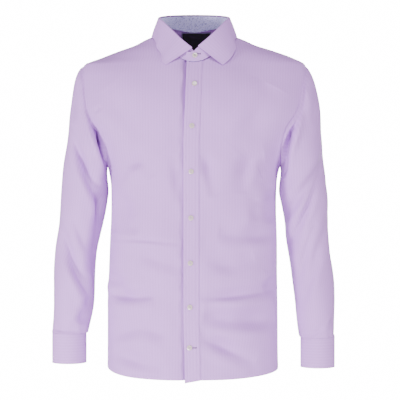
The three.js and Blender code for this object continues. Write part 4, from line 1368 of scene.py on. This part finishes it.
def back_line(r, c, lift):
    angle, z, fade = back_places(r, c)
    sink = seam_sink(np.minimum(c, BACK_COLUMNS - c) * 1.3)
    return worn(angle, z, lift - sink * smooth(r), fade, smooth(r / 0.6))


def body_stitch_lines(lift):
    """Placket, hem, armhole, yoke and side seam stitching as (line, normals)."""
    lines = []
    last = NECK_ROWS + ARM_ROWS + SKIRT_ROWS
    full = np.full
    down = np.linspace(NECK_ROWS + 0.15, last - 0.1, 700)
    for u in (-PLACKET_STITCH, PLACKET_STITCH):
        lines.append(placket_points(down, full(down.shape, u), lift))
    across = np.linspace(0.05, FRONT_COLUMNS + 1.95, 300)
    for side in (1, -1):
        first = 2.1 if side > 0 else 0.1
        hem = across[across > first]
        lines.append(front_line(side, full(hem.shape, last - 0.27), hem, lift))
        arm = np.linspace(0.1, NECK_ROWS + ARM_ROWS - 0.2, 300)
        lines.append(front_line(side, arm, full(arm.shape, FRONT_COLUMNS + 2 - 0.5), lift))
        seam = np.linspace(NECK_ROWS + ARM_ROWS, last - 0.3, 300)
        lines.append(front_line(side, seam, full(seam.shape, FRONT_COLUMNS + 2 - 0.16), lift))
        arm = np.linspace(0.1, BACK_ARM_ROWS - 0.2, 240)
        column_at = 0.45 if side > 0 else BACK_COLUMNS - 0.45
        lines.append(back_line(arm, full(arm.shape, column_at), lift))
    hem = np.linspace(0.1, BACK_COLUMNS - 0.1, 400)
    lines.append(back_line(full(hem.shape, BACK_ARM_ROWS + SKIRT_ROWS - 0.27), hem, lift))
    edge = np.linspace(0.145, 0.855, 400)
    lines.append(yoke_points(full(edge.shape, 0.975), edge, lift))
    for first, second in ((0.003, 0.14), (0.86, 0.997)):
        edge = np.linspace(first, second, 90)
        lines.append(yoke_points(full(edge.shape, 0.95), edge, lift))
    share = np.linspace(0.02, 0.98, 120)
    for place in (0.004, 0.996):
        lines.append(yoke_points(share, full(share.shape, place), lift))
    return lines


def cuff_stitch_lines(name, lift):
    lines = []
    facts = SLEEVE_SIDES[name]
    height = facts["cuff_top"] - facts["cuff_bottom"]
    wrist = SLEEVE[-1]
    angle = np.linspace(CUFF_START + 4, CUFF_START + 356 + CUFF_OVERLAP_ANGLE, 500)
    for down in (CUFF_STITCH / height, 1 - CUFF_STITCH / height):
        z = np.full(angle.shape, mix(facts["cuff_top"], facts["cuff_bottom"], down))
        line = cuff_face(facts["side"], facts["shift"], wrist, angle, z, lift - 0.3)
        lines.append((line, radial(name, angle)))
    down = np.linspace(CUFF_STITCH, height - CUFF_STITCH, 60)
    angle = np.full(down.shape, CUFF_START + 356 + CUFF_OVERLAP_ANGLE)
    line = cuff_face(facts["side"], facts["shift"], wrist, angle, facts["cuff_top"] - down, lift)
    lines.append((line, radial(name, angle)))
    return lines


def radial(name, angle):
    side = SLEEVE_SIDES[name]["side"]
    return stack(side * np.cos(np.radians(angle)), -np.sin(np.radians(angle)), np.zeros_like(angle))


def collar_stitch_lines(lift):
    lines = []
    along = np.linspace(LEAF_STITCH / 560, 1 - LEAF_STITCH / 560, 700)
    edge = 1 - LEAF_STITCH / 66
    down = np.linspace(0.16, edge, 90)
    for shares, places in (
        (np.full(along.shape, edge), along),
        (down, np.full(down.shape, LEAF_STITCH / 560)),
        (down, np.full(down.shape, 1 - LEAF_STITCH / 560)),
    ):
        lines.append(leaf_line(shares, places, lift))
    angle = np.linspace(-11, 371, 600)
    line = stand_point(angle, np.full(angle.shape, 0.07))
    out = from_neck(angle)
    lines.append((line + out * (lift + 0.1), out))
    return lines


def leaf_line(down, along, lift):
    """A line on the leaf, with its normals from points close by on the leaf."""
    small = 0.004
    shares = down[:, None] + np.array([-small, 0, small])
    places = along[:, None] + np.array([-small, 0, small])
    along_step, _ = leaf_points(np.repeat(down[:, None], 3, axis=1), places)
    down_step, _ = leaf_points(shares, np.repeat(along[:, None], 3, axis=1))
    across = along_step[:, 2] - along_step[:, 0]
    falling = down_step[:, 2] - down_step[:, 0]
    normals = unit(np.cross(falling, across))
    relief = leaf_relief(down, along)[:, None]
    return down_step[:, 1] + normals * (relief + lift), normals


def stitching_pieces(look, cloth):
    lift = 0.12
    sizes = (1.15, 0.2, 0.16)
    pitch = cloth.stitch_pitch * 1000
    body_runs = [stitches_along(a, b, pitch, sizes) for a, b in body_stitch_lines(lift)]
    collar_runs = [stitches_along(a, b, pitch, sizes) for a, b in collar_stitch_lines(lift)]
    made = [
        thread_piece("stitching_body", body_runs, tonal_thread(look)),
        thread_piece("stitching_collar", collar_runs, tonal_thread(look)),
    ]
    for name in ("right", "left"):
        runs = [stitches_along(a, b, pitch, sizes) for a, b in cuff_stitch_lines(name, lift)]
        made.append(thread_piece(f"stitching_cuff_{name}", runs, tonal_thread(look)))
    return made


def make_button(name, material):
    """A four-hole button: a turned disc with a raised rim round its dish."""
    select_nothing()
    size = BUTTON_RADIUS * MM
    height = BUTTON_HEIGHT * MM
    bpy.ops.mesh.primitive_cylinder_add(vertices=40, radius=size, depth=height)
    piece = bpy.context.object
    piece.name = name
    for face in piece.data.polygons:
        face.select = face.normal.z > 0.9
    bpy.ops.object.mode_set(mode="EDIT")
    bpy.ops.mesh.select_mode(type="FACE")
    bpy.ops.mesh.inset(thickness=0.95 * MM)
    bpy.ops.transform.translate(value=(0, 0, 0.12 * MM))
    bpy.ops.mesh.inset(thickness=0.55 * MM)
    bpy.ops.transform.translate(value=(0, 0, -0.75 * MM))
    bpy.ops.object.mode_set(mode="OBJECT")
    bevel = piece.modifiers.new("soft edges", "BEVEL")
    bevel.width = 0.28 * MM
    bevel.segments = 2
    bevel.limit_method = "ANGLE"
    bpy.ops.object.modifier_apply(modifier=bevel.name)
    for x in (-1, 1):
        for y in (-1, 1):
            cut_hole(piece, x * 1.2 * MM, y * 1.2 * MM)
    select_only(piece)
    bpy.ops.object.shade_smooth_by_angle(angle=math.radians(35))
    piece.data.materials.append(material)
    return piece


def cut_hole(piece, x, y):
    select_nothing()
    bpy.ops.mesh.primitive_cylinder_add(vertices=12, radius=0.62 * MM, depth=0.02, location=(x, y, 0))
    drill = bpy.context.object
    select_only(piece)
    hole = piece.modifiers.new("hole", "BOOLEAN")
    hole.operation = "DIFFERENCE"
    hole.object = drill
    bpy.ops.object.modifier_apply(modifier=hole.name)
    bpy.data.objects.remove(drill)


def button_axes(direction, turned):
    """Three level axes of a button that stands along a direction."""
    up = unit(np.array(direction, float))
    side = unit(np.cross((0.0, 0.0, 1.0), up))
    top = np.cross(up, side)
    c, s = math.cos(math.radians(turned)), math.sin(math.radians(turned))
    return np.stack([side * c + top * s, top * c - side * s, up])


def button_places():
    """Place, direction and turn of each button, by its node."""
    places = {}
    for i, facts in enumerate(FRONT_BUTTONS):
        x, z = np.array([float(facts["x"])]), np.array([float(facts["z"])])
        point, normal = worn(angle_at_x(x, z), z, PLACKET_LIFT + BUTTON_SEAT, 1.0)
        places[f"button_front_{i + 1}"] = (point[0], normal[0], facts["turn"])
    angle = np.array([COLLAR_BUTTON["angle"]])
    point = stand_point(angle, np.array([COLLAR_BUTTON["share"]])) + from_neck(angle) * BUTTON_SEAT
    rise = collar_top(np.array([0.0]))[0, 2] - neck_point(np.array([0.0]))[0, 2]
    lean = math.atan2(NECK_FRONT - COLLAR_TOP["front"], rise)
    places["button_collar"] = (point[0], np.array([0, -math.cos(lean), math.sin(lean)]), 20)
    wrist = SLEEVE[-1]
    for name, facts in SLEEVE_SIDES.items():
        z = np.array([(facts["cuff_top"] + facts["cuff_bottom"]) / 2])
        angle = np.array([float(CUFF_BUTTON_ANGLE)])
        point = cuff_face(facts["side"], facts["shift"], wrist, angle + 0.0, z, 0.0)
        step = CUFF_OVERLAP_STEP + BUTTON_SEAT
        point = point + radial(name, angle) * step
        places[f"button_cuff_{name}"] = (point[0], radial(name, angle)[0], 45)
    return places


BUTTON_SEAT = 0.4


def button_pieces(look):
    material = material_once("pearl_button", button_material, look)
    master = make_button("button_master", material)
    shape = np.array([tuple(v.co) for v in master.data.vertices]) / MM
    shape[:, 2] += BUTTON_HEIGHT / 2
    for node, (point, direction, turned) in button_places().items():
        mesh = master.data.copy()
        placed = shape @ button_axes(direction, turned) + point
        mesh.vertices.foreach_set("co", (placed * MM).ravel())
        mesh.update()
        piece = bpy.data.objects.new(f"pearl_{node}", mesh)
        bpy.context.collection.objects.link(piece)
        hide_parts(node)
        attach(piece, "root")
    mesh = master.data
    bpy.data.objects.remove(master)
    bpy.data.meshes.remove(mesh)


def button_threads(look):
    """Two bars of thread through the holes of each button."""
    tonal, navy = [], []
    for node, (point, direction, turned) in button_places().items():
        axes = button_axes(direction, turned)
        height = BUTTON_HEIGHT - 0.45
        middles = np.stack([point + axes[1] * y + axes[2] * height for y in (-1.2, 1.2)])
        directions = np.repeat(axes[0][None], 2, axis=0)
        normals = np.repeat(axes[2][None], 2, axis=0)
        dark = node == "button_collar"
        bar = (1.9, 0.8, 0.6) if dark else (1.6, 0.5, 0.42)
        (navy if dark else tonal).append((middles, directions, normals, bar))
    thread_piece("button_thread_tonal", tonal, tonal_thread(look))
    thread_piece("button_thread_navy", navy, navy_thread(look))


TONAL_BAR = (0.62, 0.24, 0.16)
NAVY_BAR = (0.95, 0.34, 0.3)


def buttonhole_run(middle, along, normal, half_length, half_width, bar=TONAL_BAR):
    """Close bars of thread round a slit that lies along one direction."""
    side = np.cross(normal, along)
    turned = np.linspace(0, 2 * np.pi, 64, endpoint=False)
    straight = half_length - half_width
    x = np.clip(np.cos(turned) * half_length * 1.25, -half_length, half_length)
    y = np.sign(np.sin(turned)) * half_width * np.sqrt(
        np.clip(1 - np.clip((np.abs(x) - straight) / half_width, 0, 1) ** 2, 0, 1))
    middles = middle + x[:, None] * along + y[:, None] * side
    across = np.repeat(side[None], len(turned), axis=0)
    normals = np.repeat(normal[None], len(turned), axis=0)
    return middles, across, normals, bar


def buttonhole_pieces(look):
    tonal, navy = [], []
    down = np.array([0.0, 0.0, -1.0])
    for i, facts in enumerate(FRONT_BUTTONS):
        last = i == len(FRONT_BUTTONS) - 1
        x = facts["x"] + (LAST_HOLE_SHIFT if last else 0)
        x, z = np.array([float(x)]), np.array([float(facts["z"])])
        point, normal = worn(angle_at_x(x, z), z, PLACKET_LIFT + 0.1, 1.0)
        point, normal = point[0], normal[0]
        along = unit(np.cross(normal, np.cross(down, normal)))
        if last:
            along = unit(np.cross(down, normal))
        run = buttonhole_run(point, along, normal, 8.2, 1.0, NAVY_BAR if last else TONAL_BAR)
        (navy if last else tonal).append(run)
    angle = np.array([COLLAR_BUTTON["angle"] + 3.2])
    point = stand_point(angle, np.array([COLLAR_BUTTON["share"] + 0.03])) + from_neck(angle) * 0.15
    normal = button_places()["button_collar"][1]
    navy.append(buttonhole_run(point[0], np.array([1.0, 0.0, 0.0]), normal, 8.2, 0.9, NAVY_BAR))
    for name, facts in SLEEVE_SIDES.items():
        point, normal, _ = button_places()[f"button_cuff_{name}"]
        along = unit(np.cross(down, normal))
        tonal.append(buttonhole_run(point - normal * (BUTTON_SEAT - 0.1), along, normal, 8.0, 1.0))
    thread_piece("buttonholes_tonal", tonal, tonal_thread(look))
    thread_piece("buttonholes_navy", navy, navy_thread(look))


LAST_HOLE_SHIFT = 7.0


def length_property(name, description, default, **limits):
    return bpy.props.FloatProperty(
        name=name, description=description, default=default, unit="LENGTH", **limits)


def power_property(name, description, default):
    return bpy.props.FloatProperty(
        name=name, description=description, default=default, min=0, unit="POWER")


def colour_property(name, description, default):
    return bpy.props.FloatVectorProperty(
        name=name, description=description, subtype="COLOR", size=3, default=default, min=0, max=1)


class ShirtClothSettings(bpy.types.PropertyGroup):
    """Sizes of the cloth shells and their stitching."""

    thickness: length_property(
        "Cloth thickness", "Thickness of one layer of cotton", 0.0006, min=0.0002, max=0.0011)
    cells_per_row: bpy.props.IntProperty(
        name="Cells per row", description="How finely the body panels are divided",
        default=8, min=3, max=9)
    sleeve_columns: bpy.props.IntProperty(
        name="Sleeve columns", description="How finely the sleeves are divided round the arm",
        default=150, min=60, max=200)
    stitch_pitch: length_property(
        "Stitch pitch", "Distance from one stitch to the next", 0.003, min=0.0015, max=0.008)


class ShirtLookSettings(bpy.types.PropertyGroup):
    """Colours and weave of the shirt."""

    thread_pale: colour_property("Pale thread", "Lighter of the two cotton yarns", (0.58, 0.30, 0.75))
    thread_violet: colour_property("Violet thread", "Darker of the two yarns", (0.41, 0.185, 0.57))
    thread_tonal: colour_property("Sewing thread", "Stitching of the seams", (0.50, 0.25, 0.68))
    thread_navy: colour_property("Contrast thread", "Collar button and last hole", (0.02, 0.02, 0.05))
    print_ground: colour_property("Print ground", "Pale blue of the inner collar", (0.62, 0.55, 1.0))
    print_pale: colour_property("Print light", "Light flecks of the print", (0.80, 0.74, 1.0))
    print_dark: colour_property("Print dark", "Dark flecks of the print", (0.20, 0.16, 0.50))
    label_line: colour_property("Label line", "Woven line of the label", (0.24, 0.17, 0.38))
    button_pale: colour_property("Button light", "Lighter pearl", (0.62, 0.54, 0.50))
    button_deep: colour_property("Button deep", "Deeper pearl", (0.40, 0.32, 0.32))
    hairline_spacing: length_property(
        "Hairline spacing", "Distance between the fine stripes", 0.0011, min=0.0004, max=0.01)
    group_spacing: length_property(
        "Shade spacing", "Distance between the broader faint stripes", 0.0062, min=0.002, max=0.03)


class ShirtStageSettings(bpy.types.PropertyGroup):
    """Camera, floor and light of the picture."""

    distance: length_property(
        "Camera distance", "From the camera to the middle of the shirt", 3.0, min=1.0, max=8.0)
    frame_size: length_property("Frame size", "Width of the view at the shirt", 0.88, min=0.3, max=2.0)
    middle_x: length_property("Middle X", "Sideways middle of the view", 0.013)
    middle_z: length_property("Middle Z", "Height of the middle of the view", -0.359)
    floor_z: length_property("Floor height", "Height of the floor under the hanging shirt", -1.4)
    ambient: bpy.props.FloatProperty(
        name="Ambient", description="Strength of the white surroundings", default=0.33, min=0, max=3)
    backdrop: bpy.props.FloatProperty(
        name="Backdrop", description="Strength of the lit white backdrop", default=16, min=0, max=30)
    key_power: power_property("Low light", "Power of the low front light", 42)
    top_power: power_property("Top light", "Power of the light over the neck", 34)
    side_power: power_property("Side light", "Power of the light on the left", 100)


def settings(context):
    scene = context.scene
    return scene.shirt_look, scene.shirt_cloth


class ShirtOperator:
    bl_options = {"REGISTER", "UNDO"}


class SHIRT_OT_body(ShirtOperator, bpy.types.Operator):
    """Makes both fronts, the box placket, the back and the yoke"""

    bl_idname = "shirt.body"
    bl_label = "Body"

    def execute(self, context):
        look, cloth = settings(context)
        front_sheet(-1, look, cloth)
        front_sheet(1, look, cloth)
        placket_sheet(look, cloth)
        back_sheet(look, cloth)
        yoke_sheet(look, cloth)
        return {"FINISHED"}


class SHIRT_OT_sleeves(ShirtOperator, bpy.types.Operator):
    """Makes the sleeves, their plackets and the cuffs"""

    bl_idname = "shirt.sleeves"
    bl_label = "Sleeves"

    def execute(self, context):
        look, cloth = settings(context)
        for name in SLEEVE_SIDES:
            sleeve_sheet(name, look, cloth)
            sleeve_placket_sheet(name, look, cloth)
            cuff_sheet(name, look, cloth)
        return {"FINISHED"}


class SHIRT_OT_collar(ShirtOperator, bpy.types.Operator):
    """Makes the collar stand, its printed facing, the leaf and the neck label"""

    bl_idname = "shirt.collar"
    bl_label = "Collar"

    def execute(self, context):
        look, cloth = settings(context)
        stand_sheet(look, cloth)
        facing_sheet(look, cloth)
        leaf_sheet(look, cloth)
        label_sheet(look, cloth)
        return {"FINISHED"}


class SHIRT_OT_buttons(ShirtOperator, bpy.types.Operator):
    """Makes the buttons with their thread, and the buttonholes"""

    bl_idname = "shirt.buttons"
    bl_label = "Buttons"

    def execute(self, context):
        look, _ = settings(context)
        button_pieces(look)
        button_threads(look)
        buttonhole_pieces(look)
        return {"FINISHED"}


class SHIRT_OT_stitching(ShirtOperator, bpy.types.Operator):
    """Sews the placket, hem, armholes, yoke, cuffs and collar"""

    bl_idname = "shirt.stitching"
    bl_label = "Stitching"

    def execute(self, context):
        look, cloth = settings(context)
        stitching_pieces(look, cloth)
        return {"FINISHED"}


RIGHT_LIGHT_SHARE = 0.6
BACKDROP_EDGE = 34
BACKDROP_FULL = 13
SENSOR_WIDTH = 36


def area_light(name, place, target, size, power):
    data = bpy.data.lights.new(name, "AREA")
    data.shape = "RECTANGLE"
    data.size, data.size_y = size
    data.energy = power
    light = bpy.data.objects.new(name, data)
    bpy.context.collection.objects.link(light)
    light.location = place
    way = np.array(target) - np.array(place)
    flat = math.hypot(way[0], way[1])
    light.rotation_euler = (math.atan2(flat, -way[2]), 0, math.atan2(way[1], way[0]) - math.pi / 2)
    return light


def light_surroundings(tree, facts):
    """White surroundings, much brighter straight behind the shirt, as a lit backdrop is."""
    surroundings = tree.nodes["Background"]
    surroundings.inputs["Color"].default_value = (1, 1, 1, 1)
    place = tree.nodes.new("ShaderNodeTexCoord")
    split = tree.nodes.new("ShaderNodeSeparateXYZ")
    link(tree, place.outputs["Generated"], split.inputs[0])
    fade = tree.nodes.new("ShaderNodeMapRange")
    fade.interpolation_type = "SMOOTHSTEP"
    link(tree, split.outputs[1], fade.inputs["Value"])
    set_inputs(fade, {
        "From Min": math.cos(math.radians(BACKDROP_EDGE)),
        "From Max": math.cos(math.radians(BACKDROP_FULL)),
        "To Min": facts.ambient,
        "To Max": facts.backdrop,
    })
    link(tree, fade.outputs[0], surroundings.inputs["Strength"])


class SHIRT_OT_stage(ShirtOperator, bpy.types.Operator):
    """Sets a pale floor, soft studio light and the camera of the photograph"""

    bl_idname = "shirt.stage"
    bl_label = "Stage"

    def execute(self, context):
        facts = context.scene.shirt_stage
        select_nothing()
        bpy.ops.mesh.primitive_plane_add(size=3, location=(0, 0, facts.floor_z))
        floor = context.object
        floor.name = "studio_floor"
        material, _, shader = node_tree("floor_white")
        set_inputs(shader, {
            "Base Color": (0.92, 0.92, 0.92, 1),
            "Roughness": 0.9,
        })
        floor.data.materials.append(material)
        world = bpy.data.worlds.new("white_studio")
        world.use_nodes = True
        light_surroundings(world.node_tree, facts)
        context.scene.world = world
        target = (0, 0, facts.middle_z)
        right_power = facts.side_power * RIGHT_LIGHT_SHARE
        neck = (0, 0, 0)
        area_light("low_light", (-0.5, -1.95, -1.25), target, (0.7, 0.5), facts.key_power)
        area_light("left_light", (-2.3, -1.6, -0.6), target, (0.5, 1.0), facts.side_power)
        area_light("right_light", (2.3, -1.5, -0.6), target, (0.5, 1.0), right_power)
        area_light("top_light", (0.2, -1.5, 1.7), neck, (0.8, 0.8), facts.top_power)
        data = bpy.data.cameras.new("photo_camera")
        data.sensor_width = SENSOR_WIDTH
        data.lens = SENSOR_WIDTH * facts.distance / facts.frame_size
        camera = bpy.data.objects.new("photo_camera", data)
        context.collection.objects.link(camera)
        camera.location = (facts.middle_x, -facts.distance, facts.middle_z)
        camera.rotation_euler = (math.pi / 2, 0, 0)
        context.scene.camera = camera
        return {"FINISHED"}


class SHIRT_PT_panel(bpy.types.Panel):
    """Steps and settings of the shirt"""

    bl_idname = "SHIRT_PT_panel"
    bl_label = "Dress Shirt"
    bl_space_type = "VIEW_3D"
    bl_region_type = "UI"
    bl_category = "Shirt"

    def draw(self, context):
        scene = context.scene
        for group in (scene.shirt_cloth, scene.shirt_look, scene.shirt_stage):
            box = self.layout.box()
            for key in group.__annotations__:
                box.prop(group, key)
        for operator in OPERATORS:
            self.layout.operator(operator.bl_idname)


OPERATORS = (
    SHIRT_OT_body,
    SHIRT_OT_sleeves,
    SHIRT_OT_collar,
    SHIRT_OT_buttons,
    SHIRT_OT_stitching,
    SHIRT_OT_stage,
)
GROUPS = (ShirtClothSettings, ShirtLookSettings, ShirtStageSettings)


def register():
    for item in (*GROUPS, *OPERATORS, SHIRT_PT_panel):
        bpy.utils.register_class(item)
    bpy.types.Scene.shirt_cloth = bpy.props.PointerProperty(type=ShirtClothSettings)
    bpy.types.Scene.shirt_look = bpy.props.PointerProperty(type=ShirtLookSettings)
    bpy.types.Scene.shirt_stage = bpy.props.PointerProperty(type=ShirtStageSettings)


def unregister():
    del bpy.types.Scene.shirt_stage
    del bpy.types.Scene.shirt_look
    del bpy.types.Scene.shirt_cloth
    for item in reversed((*GROUPS, *OPERATORS, SHIRT_PT_panel)):
        bpy.utils.unregister_class(item)


def main():
    register()
    bpy.ops.shirt.body()
    bpy.ops.shirt.sleeves()
    bpy.ops.shirt.collar()
    bpy.ops.shirt.buttons()
    bpy.ops.shirt.stitching()
    bpy.ops.shirt.stage()


if __name__ == "__main__":
    main()
